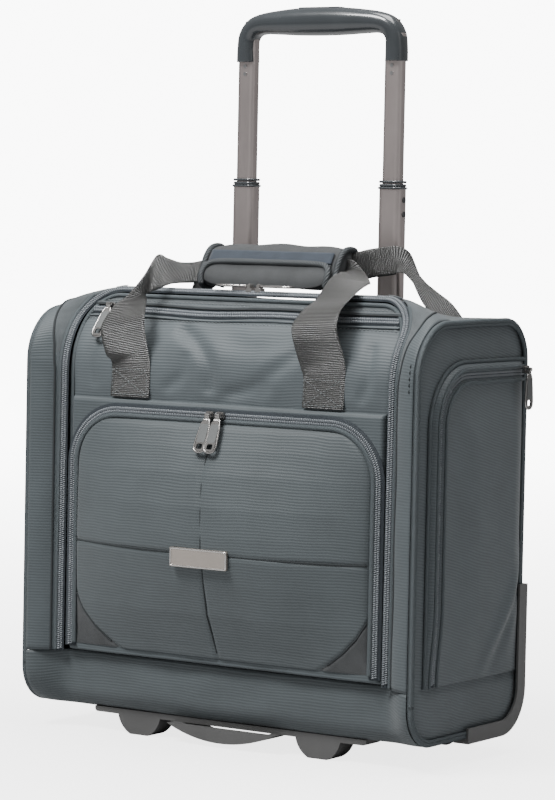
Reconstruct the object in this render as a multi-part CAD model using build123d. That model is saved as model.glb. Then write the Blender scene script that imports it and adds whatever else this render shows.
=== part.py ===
"""Rolling laptop case on two rear wheels, with a two-stage pull handle.

Millimetres. X runs to the case's left-to-right as seen from the front, the front faces -Y, +Z is up.
The origin is on the floor, under the middle of the whole case.
"""
import math
import os

from build123d import *

# ---------------------------------------------------------------- driving dimensions
CASE_HALF_W = 205.0       # half width of the fabric wrap, without the edge piping
FRAME_SHIFT_Y = -7.0      # brings the origin under the middle of the whole case
FRONT_Y = -80.0           # front edge of the case at its two sides
MID_FRONT_Y = -56.5       # front of the case frame behind the front panel
REAR_Y = 108.0            # outside of the back panel
BASE_Z = 22.0             # underside of the case above the floor
TOP_REAR_Z = 388.0        # top of the case at the back
TOP_BREAK_Y = 30.0        # where the top stops being level
MID_LEAN = (-56.5, 348.5)     # (y, z) where the middle of the front starts to lean back
MID_CREST = (-18.5, 404.5)    # (y, z) where the leaning front meets the top
SIDE_LEAN = (-80.0, 357.8)    # the same two corners at each side
SIDE_CREST = (-50.8, 387.0)
WALL = 6.0                # padded fabric wall

CORNER_R_BOTTOM = 36.0
CORNER_R_REAR_TOP = 38.0
CORNER_R_BREAK = 120.0
CORNER_R_MID = (18.0, 60.0, 16.0)    # front corners: bottom, lean and crest
CORNER_R_SIDE = (36.0, 48.0, 48.0)
SHOULDER_X = 178.0        # where the middle form starts to run out to the side

PIPING_R = 2.4
SIDE_PANEL_T = 4.0
FRONT_SEAM_Y = -40.0      # seam behind the front gusset
BAND_TOP_Z = 71.0         # top seam of the bottom band
BASE_SPLIT_Z = 60.0       # seam between base panel and back panel
TOP_SPLIT_Z = 346.0       # seam between top panel and back panel

LID_HALF_W = 171.0
LID_BOTTOM_Z = 74.0
LID_TOP_Z = 399.0
LID_CORNER_R = 30.0
LID_T = 4.0
LID_GAP = 0.5             # clearance between the front panel and the case frame
MOUTH_INSET = 7.0         # the frame's mouth is this much smaller than the panel that covers it

POCKET_HALF_W = 168.0
POCKET_BOTTOM_Z = 76.0
POCKET_TOP_Z = 307.0
POCKET_CORNER_R = 12.0     # the pocket's outer fold is nearly square
POCKET_ZIP_TOP_Z = 300.0
POCKET_ZIP_R = 54.0        # the zip turns its corners much wider
POCKET_DEPTH = 5.0
POCKET_WALL = 3.0
FACE_T = 3.2
FACE_INSET = 7.5
FACE_GAP = 0.3
DOME_Y = -98.0            # front of the pocket's stuffed face
DOME_Z = 186.0            # height of the middle of the dome
DOME_R_ACROSS = 460.0     # curvature of the dome from side to side
DOME_R_UP = 210.0         # curvature of the dome from bottom to top
PLATE_X = (-30.5, 30.5)
PLATE_Z = (164.0, 181.0)
PLATE_T = 1.6

ZIP_T = 1.6
ZIP_W = 5.0
ZIP_GAP = 1.5             # from the edge of the front panel to its zip
ZIP_STAND = 8.0           # how far the main zip stands off the case frame
UPPER_ZIP_HALF_L = 152.0
UPPER_ZIP_Z = (383.0, 391.0)

SIDE_POCKET_T = 8.0
SIDE_POCKET_FRONT_Y = -58.0
SIDE_POCKET_REAR_Y = 93.0
SIDE_POCKET_BOTTOM_Z = 74.0
SIDE_POCKET_TOP_Z = 352.0
SIDE_POCKET_R = 56.0

BEZEL_X = 103.0
BEZEL_Y = (66.0, 98.0)
BEZEL_Z = (372.0, 391.0)

TUBE_X = 80.0             # half the distance between the pull handle's tubes
TUBE_Y = 81.5
OUTER_TUBE = (29.0, 20.6)
MID_TUBE = (24.0, 16.0)
INNER_TUBE = (19.0, 12.0)
TUBE_WALL = 1.2
OVAL = 2.6                # depth of a tube over its corner radius
OUTER_TUBE_Z = (41.0, 372.0)
MID_TUBE_Z = (178.0, 501.0)
INNER_TUBE_Z = (290.0, 640.0)
COLLAR_Z = (500.0, 509.0)
COLLAR = (29.0, 21.0)
TUBE_FIT = 0.15           # sliding clearance of guides, collars and blocks
PLUG_X = TUBE_X + MID_TUBE[0] / 2
PLUG_Z = (477.0, 490.0)   # plugs on the outer side of the middle tubes
PLUG_R = 2.6
PLUG_T = 0.8
RIVET_Z = (604.0, 611.0)
ROD_R = 2.0
GUIDE_L = 14.0
LOCK_L = 8.0

GRIP_HALF_W = 95.0
GRIP_TOP_Z = 664.0
GRIP_LEG_Z = 616.0
GRIP_UNDER_Z = 637.0
GRIP_HALF_D = 14.0
GRIP_LEG_W = 27.0

LINKAGE_Z = (648.5, 652.5)    # cross bar under the button
BUTTON_SIZE = (44.0, 12.0, 7.0)
BUTTON_TRAVEL = 3.0
BUTTON_FIT = 0.4

WHEEL_X = 140.0
WHEEL_Y = 89.0
WHEEL_R = 25.0
WHEEL_W = 20.0
AXLE_R = 3.0
AXLE_FIT = 0.05
WELL_R = 29.0
WELL_T = 2.5
WELL_HALF_W = 17.0

FOOT_X = 97.0
FOOT_Y = -38.0
FOOT_R = 24.0
FOOT_W = 24.0
FOOT_RIM = 5.0            # thickness left round the hollow at the back of each foot
FOOT_FRONT_T = 8.0        # the hollow stops this far behind the front of the foot
FOOT_SOLE_Z = 5.0
BAR_HALF_L = 147.0
BAR_T = 5.0
SCREW_X = (65.5, 132.0)
SCREW_R = 3.2

GRAB_HALF_L = 58.0        # handle under the case
GRAB_SAG = 13.0
GRAB_W = 34.0
GRAB_T = 4.0

BOARD_T = 2.5
BOARD_Z = 28.2
DIVIDER_Y = (52.0, 56.0)
DIVIDER_TOP_Z = 300.0

GUARD_FRONT_Y = 14.0
GUARD_TOP_Z = 150.0
GUARD_T = 4.5
GUARD_GAP = 0.3
GUARD_LIP = 9.0
GUARD_OVER = 8.0          # how far the guard reaches over the wrap

WEBBING_W = 43.0
WEBBING_T = 2.2
STRAP_X = 103.0
PAD_HALF_L = 61.0
PAD_Y = 18.0
PAD_Z = 428.0

SLIDER_L = 8.0            # along the zip
SLIDER_W = 7.0            # across the zip
SLIDER_H = 3.2
BAR_H = 5.4               # height of the bar that the pull hangs from
BAR_R = 0.9
PULL_FIT = 0.08
PULL_LENGTH = 34.0
PULL_W = 10.0
PULL_T = 1.6
PULL_LEAN = 24.0          # the pocket pulls lean out over the stuffed pocket
UPPER_SLIDER_Z = 387.0

BIG = 300.0               # larger than the whole case, for cutting away
PARTS = {}


# ---------------------------------------------------------------- helpers
def add(name, *solids):
    """Keep one node: a single solid, or a group of separate solids."""
    PARTS[name] = solids[0] if len(solids) == 1 else Compound(children=list(solids))


def block(x, y, z):
    """A box from its low and high limits along each axis."""
    size = (x[1] - x[0], y[1] - y[0], z[1] - z[0])
    centre = ((x[0] + x[1]) / 2, (y[0] + y[1]) / 2, (z[0] + z[1]) / 2)
    return Pos(*centre) * Box(*size)


def mirrored(shape):
    """The same piece on the other side of the case."""
    return mirror(shape, about=Plane.YZ)


def rod(centre, radius, length, axis="X"):
    """A cylinder by its middle, along one axis."""
    turn = {"X": Rot(0, 90, 0), "Y": Rot(90, 0, 0), "Z": Rot(0, 0, 0)}[axis]
    return Pos(*centre) * turn * Cylinder(radius, length)


def filled(points, radii):
    """A flat face inside a closed outline with rounded corners."""
    return make_face(FilletPolyline(*points, radius=radii, close=True))


def along_x(face, low, high):
    """Push an outline that is drawn in (y, z) from x = low to x = high."""
    return extrude(Plane(origin=(low, 0, 0), x_dir=(0, 1, 0), z_dir=(1, 0, 0)) * face, high - low)


def along_y(face, low, high):
    """Push an outline that is drawn in (x, z) from y = low to y = high."""
    return extrude(Plane(origin=(0, high, 0), x_dir=(1, 0, 0), z_dir=(0, -1, 0)) * face, high - low)


def largest(shape):
    """The one solid that matters when a cut leaves slivers."""
    return max(shape.solids(), key=lambda s: s.volume)


# ---------------------------------------------------------------- outlines
def case_outline(crest, lean, front_radii, inset=0.0):
    """Side profile of the case in (y, z)."""
    points = [
        (lean[0], BASE_Z),
        (REAR_Y, BASE_Z),
        (REAR_Y, TOP_REAR_Z),
        (TOP_BREAK_Y, TOP_REAR_Z),
        crest,
        lean,
    ]
    bottom_r, lean_r, crest_r = front_radii
    radii = [bottom_r, CORNER_R_BOTTOM, CORNER_R_REAR_TOP, CORNER_R_BREAK, crest_r, lean_r]
    face = filled(points, radii)
    return offset(face, -inset, kind=Kind.INTERSECTION) if inset else face


def side_outline(inset=0.0):
    """Profile at the side panels."""
    return case_outline(SIDE_CREST, SIDE_LEAN, CORNER_R_SIDE, inset)


def middle_outline(inset=0.0):
    """Profile across the width of the front panel."""
    return case_outline(MID_CREST, MID_LEAN, CORNER_R_MID, inset)


def front_layer(low, high):
    """A layer over the leaning front, between two distances from the case frame."""
    half = LID_HALF_W + 20
    skin = along_x(middle_outline(-high) - middle_outline(-low), -half, half)
    return skin & block((-half, half), (-150, MID_CREST[0] + 4), (BAND_TOP_Z - 20, 450))


def arch_outline(half_w, bottom, top, radius, inset=0.0):
    """An upright panel with rounded top corners, in (x, z)."""
    w = half_w - inset
    r = radius - inset
    points = [(-w, bottom + inset), (w, bottom + inset), (w, top - inset), (-w, top - inset)]
    return filled(points, [2, 2, r, r])


def side_pocket_outline(inset=0.0):
    """Side pocket in (y, z): rounded at the top towards the front."""
    front = SIDE_POCKET_FRONT_Y + inset
    rear = SIDE_POCKET_REAR_Y - inset
    low = SIDE_POCKET_BOTTOM_Z + inset
    top = SIDE_POCKET_TOP_Z - inset
    points = [(front, low), (rear, low), (rear, top), (front, top)]
    return filled(points, [8, 8, 8, SIDE_POCKET_R - inset])


# ---------------------------------------------------------------- fabric case
def case_solid(inset):
    """The whole case as one closed form, smaller by inset all round."""
    half = CASE_HALF_W
    parts = along_x(middle_outline(inset), -SHOULDER_X, SHOULDER_X)
    for low, high in ((SHOULDER_X, half), (-SHOULDER_X, -half)):
        faces = []
        for x, outline in ((low, middle_outline(inset)), (high, side_outline(inset))):
            faces.append(Plane(origin=(x, 0, 0), x_dir=(0, 1, 0), z_dir=(1, 0, 0)) * outline)
        parts = parts + loft(faces, ruled=True)
    return parts


def rear_bottom_wall():
    """The lower rear part of the fabric wall, which the tube foot is shaped to."""
    wall = along_x(middle_outline() - middle_outline(WALL), -SHOULDER_X, SHOULDER_X)
    return wall & block((-SHOULDER_X, SHOULDER_X), (0, REAR_Y), (0, BASE_SPLIT_Z))


def wheel_well_space():
    """The space each wheel well takes out of the case."""
    space = rod((WHEEL_X, WHEEL_Y, WHEEL_R), WELL_R + WELL_T, 2 * WELL_HALF_W)
    x = (WHEEL_X - WELL_HALF_W, WHEEL_X + WELL_HALF_W)
    y = (WHEEL_Y - WELL_R - WELL_T, WHEEL_Y + WELL_R + WELL_T)
    return space + block(x, y, (0, WHEEL_R))


def build_case():
    shell = case_solid(0) - case_solid(WALL)
    mouth = arch_outline(LID_HALF_W, LID_BOTTOM_Z, LID_TOP_Z, LID_CORNER_R, MOUTH_INSET)
    shell -= along_y(mouth, FRONT_Y - 5, MID_CREST[0] + 4)
    shell -= block((-BEZEL_X, BEZEL_X), BEZEL_Y, BEZEL_Z)
    well = wheel_well_space()
    shell -= well
    shell -= mirrored(well)
    front_back = FRONT_SEAM_Y
    wide = (-CASE_HALF_W - 5, CASE_HALF_W + 5)
    front = block(wide, (FRONT_Y - 5, front_back), (BAND_TOP_Z, MID_CREST[1] + 5))
    band = block(wide, (FRONT_Y - 5, front_back), (0, BAND_TOP_Z))
    top = block(wide, (front_back, REAR_Y + 5), (TOP_SPLIT_Z, MID_CREST[1] + 5))
    base = block(wide, (front_back, REAR_Y + 5), (0, BASE_SPLIT_Z))
    back = block(wide, (front_back, REAR_Y + 5), (BASE_SPLIT_Z, TOP_SPLIT_Z))
    add("front_gusset", largest(shell & front))
    add("bottom_band", largest(shell & band))
    add("top_panel", largest(shell & top))
    add("base_panel", largest(shell & base))
    add("back_panel", largest(shell & back))


def build_sides():
    panel = along_x(side_outline(2 * PIPING_R + 0.2), CASE_HALF_W, CASE_HALF_W + SIDE_PANEL_T)
    add("side_panel_right", panel)
    add("side_panel_left", mirrored(panel))
    edge_plane = Plane(origin=(CASE_HALF_W + PIPING_R, 0, 0), x_dir=(0, 1, 0), z_dir=(1, 0, 0))
    path = (edge_plane * side_outline(PIPING_R)).face().outer_wire()
    section = Plane(origin=path @ 0, z_dir=path % 0) * Circle(PIPING_R)
    piping = sweep(section, path=path)
    add("edge_piping", piping.solid(), mirrored(piping.solid()))
    outer = CASE_HALF_W + SIDE_PANEL_T
    pocket = along_x(side_pocket_outline(), outer, outer + SIDE_POCKET_T)
    add("side_pockets", pocket, mirrored(pocket))
    ring = side_pocket_outline(8) - side_pocket_outline(8 + ZIP_W)
    face = outer + SIDE_POCKET_T
    zip_band = along_x(ring, face, face + ZIP_T)
    corner = block((0, face + 5), (-200, SIDE_POCKET_REAR_Y - 4), (SIDE_POCKET_BOTTOM_Z + 14, 400))
    rear_leg = block((0, face + 5), (0, 200), (0, SIDE_POCKET_TOP_Z - 20))
    zip_band = largest((zip_band & corner) - rear_leg)
    add("side_zips", zip_band, mirrored(zip_band))


def build_inside():
    """Stiffening boards under the lining, and the wall of the laptop sleeve."""
    board_x = (-CASE_HALF_W + 15, CASE_HALF_W - 15)
    back_y = REAR_Y - WALL - 2
    add("back_board", block(board_x, (back_y - 3, back_y), (BASE_SPLIT_Z + 2, TOP_SPLIT_Z - 2)))
    add("base_board", block(board_x, (-34, 46), (BOARD_Z, BOARD_Z + BOARD_T)))
    divider_x = (-CASE_HALF_W + 9, CASE_HALF_W - 9)
    add("laptop_divider", block(divider_x, DIVIDER_Y, (BOARD_Z + BOARD_T, DIVIDER_TOP_Z)))


# ---------------------------------------------------------------- base, feet and wheels
def build_base():
    deep = (FOOT_Y - FOOT_W / 2, FOOT_Y + FOOT_W / 2)
    bar = block((-BAR_HALF_L, BAR_HALF_L), deep, (BASE_Z - BAR_T, BASE_Z))
    bar = fillet(bar.edges().filter_by(Axis.Y).group_by(Axis.Z)[0], 3)
    below_case = block((-BIG, BIG), (-BIG, BIG), (0, BASE_Z))
    inside_foot = block((-BIG, BIG), (-BIG, BIG), (FOOT_SOLE_Z, BASE_Z - BAR_T))
    for x in (-FOOT_X, FOOT_X):
        bar += rod((x, FOOT_Y, BASE_Z), FOOT_R, FOOT_W, "Y") & below_case
        hollow_y = FOOT_Y + FOOT_FRONT_T / 2
        hollow = rod((x, hollow_y, BASE_Z), FOOT_R - FOOT_RIM, FOOT_W - FOOT_FRONT_T, "Y")
        bar -= hollow & inside_foot
    add("base_bar", bar)

    top = BASE_Z - BAR_T
    radius = (GRAB_HALF_L**2 + GRAB_SAG**2) / (2 * GRAB_SAG)
    centre_z = top - GRAB_SAG + radius
    belly = rod((0, FOOT_Y - 6, centre_z), radius, GRAB_W, "Y")
    belly &= block((-GRAB_HALF_L, GRAB_HALF_L), (-BIG, BIG), (0, top))
    recess = rod((0, FOOT_Y, centre_z), radius - GRAB_T, GRAB_W, "Y")
    recess &= block((-GRAB_HALF_L + 2 * GRAB_T, GRAB_HALF_L - 2 * GRAB_T), (-BIG, BIG), (0, top))
    add("bottom_handle", largest(belly - recess))


def build_corner_guards():
    """Hard guards round the lower rear corner of each side."""
    outer = offset(side_outline(), GUARD_GAP + GUARD_T)
    lip_x = CASE_HALF_W + 2 * PIPING_R + 0.2
    outer_x = lip_x + 2.0
    guard = along_x(outer - offset(side_outline(), GUARD_GAP), CASE_HALF_W - GUARD_OVER, outer_x)
    guard += along_x(outer - side_outline(GUARD_LIP), lip_x, outer_x)
    guard = largest(guard & block((0, BIG), (GUARD_FRONT_Y, BIG), (0, GUARD_TOP_Z)))
    add("corner_guards", guard, mirrored(guard))


def build_wheels():
    well = wheel_well_space()
    inside = rod((WHEEL_X, WHEEL_Y, WHEEL_R), WELL_R, 2 * (WELL_HALF_W - WELL_T))
    inside += block(
        (WHEEL_X - WELL_HALF_W + WELL_T, WHEEL_X + WELL_HALF_W - WELL_T),
        (WHEEL_Y - WELL_R, WHEEL_Y + WELL_R),
        (0, WHEEL_R),
    )
    housing = well - inside
    housing -= block((0, 300), (REAR_Y + 4, 300), (0, 100))
    housing -= block((0, 300), (0, 300), (-5, 12))
    housing -= rod((WHEEL_X, WHEEL_Y, WHEEL_R), AXLE_R, 60)
    housing = largest(housing)
    add("wheel_housings", housing, mirrored(housing))
    axle = rod((WHEEL_X, WHEEL_Y, WHEEL_R), AXLE_R, 2 * WELL_HALF_W)
    add("wheel_axles", axle, mirrored(axle))
    tyre = rod((WHEEL_X, WHEEL_Y, WHEEL_R), WHEEL_R, WHEEL_W)
    tyre = fillet(tyre.edges().filter_by(GeomType.CIRCLE), 4)
    tyre -= rod((WHEEL_X, WHEEL_Y, WHEEL_R), 17, WHEEL_W)
    hub = rod((WHEEL_X, WHEEL_Y, WHEEL_R), 17, WHEEL_W - 4)
    for side in (-1, 1):
        dish = rod((WHEEL_X + side * (WHEEL_W / 2 - 2), WHEEL_Y, WHEEL_R), 13.5, 6)
        hub -= dish
        hub += rod((WHEEL_X + side * (WHEEL_W / 2 - 2.5), WHEEL_Y, WHEEL_R), 6, 7)
    hub -= rod((WHEEL_X, WHEEL_Y, WHEEL_R), AXLE_R + AXLE_FIT, WHEEL_W + 10)
    for name, place in (("right", lambda s: s), ("left", mirrored)):
        add("tyre_" + name, place(tyre))
        add("wheel_hub_" + name, place(hub))


# ---------------------------------------------------------------- pull handle
def tube(size, z, wall=TUBE_WALL):
    """A hollow flat-oval tube at the right-hand side of the handle."""
    bore = (size[0] - 2 * wall, size[1] - 2 * wall)
    return plug(size, z) - plug(bore, (z[0] - 1, z[1] + 1))


def plug(size, z):
    """A solid flat-oval block on the tube's line."""
    outline = Pos(TUBE_X, TUBE_Y) * RectangleRounded(*size, size[1] / OVAL)
    return Pos(0, 0, z[0]) * extrude(outline, z[1] - z[0])


def inside_of(size, wall=TUBE_WALL, gap=TUBE_FIT):
    return size[0] - 2 * wall - 2 * gap, size[1] - 2 * wall - 2 * gap


def around(size, gap=TUBE_FIT):
    return size[0] + 2 * gap, size[1] + 2 * gap


def build_handle():
    outer = tube(OUTER_TUBE, OUTER_TUBE_Z)
    add("outer_tubes", outer, mirrored(outer))

    bezel = block((-BEZEL_X, BEZEL_X), BEZEL_Y, BEZEL_Z)
    bezel = fillet(bezel.edges().group_by(Axis.Z)[-1], 2.5)
    socket = plug(around(MID_TUBE), (BEZEL_Z[0] - 1, BEZEL_Z[1] + 1))
    track_y = (TUBE_Y - PLUG_R - 0.4, TUBE_Y + PLUG_R + 0.4)
    socket += block((TUBE_X, PLUG_X + PLUG_T + 0.4), track_y, (BEZEL_Z[0] - 1, BEZEL_Z[1] + 1))
    bezel = bezel - socket - mirrored(socket)
    hollow_y = (BEZEL_Y[0] + 3, BEZEL_Y[1] - 3)
    hollow = block((-TUBE_X + 22, TUBE_X - 22), hollow_y, (BEZEL_Z[0] - 1, BEZEL_Z[1] - 4))
    add("trolley_bezel", bezel - hollow)

    foot_x = (-TUBE_X - 22, TUBE_X + 22)
    foot = block(foot_x, (TUBE_Y - 12, TUBE_Y + 12), (BASE_Z + WALL, OUTER_TUBE_Z[0]))
    add("trolley_foot", largest(foot - rear_bottom_wall()))

    mid = tube(MID_TUBE, MID_TUBE_Z)
    add("mid_tubes", mid, mirrored(mid))
    collar = plug(COLLAR, COLLAR_Z) - plug(around(INNER_TUBE), (COLLAR_Z[0] - 1, COLLAR_Z[1] + 1))
    collar -= plug(MID_TUBE, (COLLAR_Z[0] - 1, MID_TUBE_Z[1]))
    add("mid_collars", collar, mirrored(collar))
    guide = plug(inside_of(OUTER_TUBE), (MID_TUBE_Z[0] - GUIDE_L, MID_TUBE_Z[0]))
    guide -= plug(around(INNER_TUBE), (MID_TUBE_Z[0] - GUIDE_L - 5, MID_TUBE_Z[0] + 5))
    add("mid_guides", guide, mirrored(guide))
    plugs = []
    for z in PLUG_Z:
        dot = rod((PLUG_X + PLUG_T / 2, TUBE_Y, z), PLUG_R, PLUG_T)
        plugs += [dot, mirrored(dot)]
    add("collar_plugs", *plugs)

    inner = tube(INNER_TUBE, INNER_TUBE_Z)
    add("inner_tubes", inner, mirrored(inner))
    lock = plug(inside_of(MID_TUBE), (INNER_TUBE_Z[0] - LOCK_L, INNER_TUBE_Z[0]))
    lock -= rod((TUBE_X, TUBE_Y, INNER_TUBE_Z[0]), ROD_R + 0.6, 60, "Z")
    add("lock_blocks", lock, mirrored(lock))
    rivets = []
    for z in RIVET_Z:
        head = rod((TUBE_X, TUBE_Y - INNER_TUBE[1] / 2 - 0.3, z), 1.8, 0.6, "Y")
        rivets += [head, mirrored(head)]
    add("grip_rivets", *rivets)


def grip_outline():
    """The grip from the front, in (x, z): an arch with two short legs."""
    w = GRIP_HALF_W
    leg = w - GRIP_LEG_W
    points = [
        (-w, GRIP_LEG_Z),
        (-leg, GRIP_LEG_Z),
        (-leg + 3, GRIP_UNDER_Z),
        (leg - 3, GRIP_UNDER_Z),
        (leg, GRIP_LEG_Z),
        (w, GRIP_LEG_Z),
        (w - 1, GRIP_TOP_Z),
        (-w + 1, GRIP_TOP_Z),
    ]
    return filled(points, [2, 2, 10, 10, 2, 2, 20, 20])


def build_grip():
    body = along_y(grip_outline(), TUBE_Y - GRIP_HALF_D, TUBE_Y + GRIP_HALF_D)
    socket = plug(INNER_TUBE, (GRIP_LEG_Z - 1, INNER_TUBE_Z[1]))
    body = body - socket - mirrored(socket)
    bx, by, bz = BUTTON_SIZE
    wide = bx / 2 + BUTTON_FIT
    deep = by / 2 + BUTTON_FIT
    body -= block((-wide, wide), (TUBE_Y - deep, TUBE_Y + deep), (GRIP_TOP_Z - bz - 6, GRIP_TOP_Z + 2))
    low, high = LINKAGE_Z
    channel_y = (TUBE_Y - 4.5, TUBE_Y + 4.5)
    body -= block((-TUBE_X - 5, TUBE_X + 5), channel_y, (low - 7.5, high + 3.5))
    for x in (-TUBE_X, TUBE_X):
        body -= block((x - 5, x + 5), channel_y, (INNER_TUBE_Z[1] - 1, high))
    front = block((-BIG, BIG), (0, TUBE_Y), (BIG, 3 * BIG))
    rear = block((-BIG, BIG), (TUBE_Y, BIG), (BIG, 3 * BIG))
    add("grip_front_shell", largest(body & front))
    add("grip_rear_shell", largest(body & rear))
    top = GRIP_TOP_Z + 0.6
    button = block((-bx / 2, bx / 2), (TUBE_Y - by / 2, TUBE_Y + by / 2), (top - bz, top))
    button = fillet(button.edges().group_by(Axis.Z)[-1], 1.2)
    add("release_button", button)
    link_y = (TUBE_Y - 2.5, TUBE_Y + 2.5)
    cross = block((-TUBE_X - 3, TUBE_X + 3), link_y, (low, high))
    cross += block((-8, 8), link_y, (high, top - bz))
    rod_low = INNER_TUBE_Z[0] - LOCK_L + 1
    for x in (-TUBE_X, TUBE_X):
        cross += rod((x, TUBE_Y, (rod_low + low) / 2), ROD_R, low - rod_low, "Z")
    add("push_rods", cross)


# ---------------------------------------------------------------- front panel and pocket
PANEL_Y = (MID_FRONT_Y - LID_GAP - LID_T, MID_FRONT_Y - LID_GAP)
POCKET_Y = (PANEL_Y[0] - POCKET_DEPTH, PANEL_Y[0])
FACE_BACK_Y = POCKET_Y[0] - FACE_GAP


def dome_space(inset):
    """Everything behind the domed front of the pocket, smaller by inset all round."""
    door = arch_outline(POCKET_HALF_W, POCKET_BOTTOM_Z, POCKET_ZIP_TOP_Z, POCKET_ZIP_R, FACE_INSET + inset)
    across = rod((0, DOME_Y + DOME_R_ACROSS, DOME_Z), DOME_R_ACROSS - inset, 600, "Z")
    upward = rod((0, DOME_Y + DOME_R_UP, DOME_Z), DOME_R_UP - inset, 600, "X")
    return along_y(door, DOME_Y - 10, FACE_BACK_Y) & across & upward


def build_front():
    panel = arch_outline(LID_HALF_W, LID_BOTTOM_Z, LID_TOP_Z, LID_CORNER_R)
    lid_layer = front_layer(LID_GAP, LID_GAP + LID_T)
    add("front_panel", largest(lid_layer & along_y(panel, -150, 0)))

    pocket = (POCKET_HALF_W, POCKET_BOTTOM_Z, POCKET_TOP_Z, POCKET_CORNER_R)
    door = (POCKET_HALF_W, POCKET_BOTTOM_Z, POCKET_ZIP_TOP_Z, POCKET_ZIP_R)
    ring = arch_outline(*pocket) - arch_outline(*pocket, POCKET_WALL)
    lip = arch_outline(*pocket) - arch_outline(*door, FACE_INSET - 1)
    gusset = along_y(ring, *POCKET_Y) + along_y(lip, POCKET_Y[0], POCKET_Y[0] + 1.5)
    add("front_pocket", gusset)

    outer = dome_space(0)
    add("pocket_face", largest(outer - dome_space(FACE_T)))
    plate = block(PLATE_X, (DOME_Y - PLATE_T, DOME_Y + 6), PLATE_Z)
    plate = fillet(plate.edges().filter_by(Axis.Y), 1.5)
    add("nameplate", largest(plate - outer))

    pocket_zip = arch_outline(*door, 0.6) - arch_outline(*door, 0.6 + ZIP_W)
    pocket_zip = along_y(pocket_zip, POCKET_Y[0] - ZIP_T, POCKET_Y[0])
    pocket_zip -= block((-300, 300), (-300, 0), (0, POCKET_BOTTOM_Z + 10))
    zip_layer = front_layer(LID_GAP + LID_T, LID_GAP + LID_T + ZIP_T)
    upper_zip = zip_layer & block((-UPPER_ZIP_HALF_L, UPPER_ZIP_HALF_L), (-150, 0), UPPER_ZIP_Z)
    add("panel_zips", largest(pocket_zip), largest(upper_zip))

    low = ZIP_GAP
    high = ZIP_GAP + ZIP_W
    outer = arch_outline(LID_HALF_W + high, 0, LID_TOP_Z + high, LID_CORNER_R + high)
    inner = arch_outline(LID_HALF_W + low, 0, LID_TOP_Z + low, LID_CORNER_R + low)
    zip_band = front_layer(0, ZIP_STAND) & along_y(outer - inner, -150, MID_CREST[0] + 4)
    zip_band -= block((-300, 300), (-300, 0), (-50, BAND_TOP_Z + 2))
    zip_band -= case_solid(0)
    add("main_zip", largest(zip_band))


# ---------------------------------------------------------------- carrying handles
def webbing(stations):
    """A flat strap through a row of stations: centre, width direction, length direction, width."""
    sections = []
    for centre, across, forward, width in stations:
        plane = Plane(origin=centre, x_dir=across, z_dir=forward)
        sections.append(plane * Rectangle(width, WEBBING_T))
    return loft(sections, ruled=True)


def build_straps():
    w = WEBBING_W
    patch_y = PANEL_Y[0] - WEBBING_T / 2 - 0.05
    channel_w = 34.0
    low_patch = POCKET_TOP_Z + 2
    front = [
        ((STRAP_X, patch_y, low_patch), (1, 0, 0), (0, 0, 1), w),
        ((STRAP_X, patch_y, low_patch + 26), (1, 0, 0), (0, 0, 1), w),
        ((STRAP_X + 1, -80, 368), (1, 0, 0), (0, -0.2, 1), w),
        ((STRAP_X - 2, -72, 400), (1, 0, 0.1), (0, 0.6, 1), w),
        ((94, -46, 423), (0.8, 0.3, 0.6), (-0.2, 1, 0.3), w - 4),
        ((81, -12, 429), (0.3, 0.2, 1), (-0.6, 1, 0.0), w - 8),
        ((PAD_HALF_L + 5, PAD_Y - 3.2, PAD_Z), (0, 0, 1), (-1, 0.15, 0), channel_w),
        ((PAD_HALF_L - 10, PAD_Y - 2.6, PAD_Z), (0, 0, 1), (-1, 0, 0), channel_w),
        ((0, PAD_Y - 2.6, PAD_Z), (0, 0, 1), (-1, 0, 0), channel_w),
    ]
    half = webbing(front)
    add("front_strap", (half + mirrored(half)).solid())

    base_z = TOP_REAR_Z + WEBBING_T / 2 + 0.05
    rear = [
        ((132, 62, base_z), (-0.35, 1, 0), (-1, -0.35, 0), w - 8),
        ((112, 55, base_z + 2), (-0.35, 1, 0), (-1, -0.35, 0.3), w - 8),
        ((100, 46, 408), (-0.3, 0.8, 0.5), (-0.6, -0.4, 0.9), w - 8),
        ((86, 34, 426), (-0.1, 0.2, 1), (-1, -0.5, 0.1), w - 8),
        ((PAD_HALF_L + 5, PAD_Y + 3.2, PAD_Z), (0, 0, 1), (-1, -0.15, 0), channel_w),
        ((PAD_HALF_L - 10, PAD_Y + 2.6, PAD_Z), (0, 0, 1), (-1, 0, 0), channel_w),
        ((0, PAD_Y + 2.6, PAD_Z), (0, 0, 1), (-1, 0, 0), channel_w),
    ]
    half = webbing(rear)
    add("rear_strap", (half + mirrored(half)).solid())

    channel = block((-PAD_HALF_L - 1, PAD_HALF_L + 1), (PAD_Y - 4.6, PAD_Y + 4.6), (PAD_Z - 18, PAD_Z + 18))
    pad = block((-PAD_HALF_L, PAD_HALF_L), (PAD_Y - 15, PAD_Y + 15), (PAD_Z - 22, PAD_Z + 22))
    pad = fillet(pad.edges().filter_by(Axis.X), 10)
    add("handle_pad", pad - channel)


# ---------------------------------------------------------------- zip sliders with hinged pulls
def slider_shape():
    """A slider on a zip that runs along X, with its pull side down -Z and facing -Y."""
    body = block((-SLIDER_L / 2, SLIDER_L / 2), (-SLIDER_H, 0), (-SLIDER_W / 2, SLIDER_W / 2))
    body = fillet(body.edges().filter_by(Axis.Y), 1.5)
    for x in (-3.4, 2.4):
        body += block((x, x + 1.0), (-BAR_H - 1.0, -SLIDER_H), (-1.5, 1.5))
    return body + rod((0, -BAR_H, 0), BAR_R, 5.6)


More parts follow.
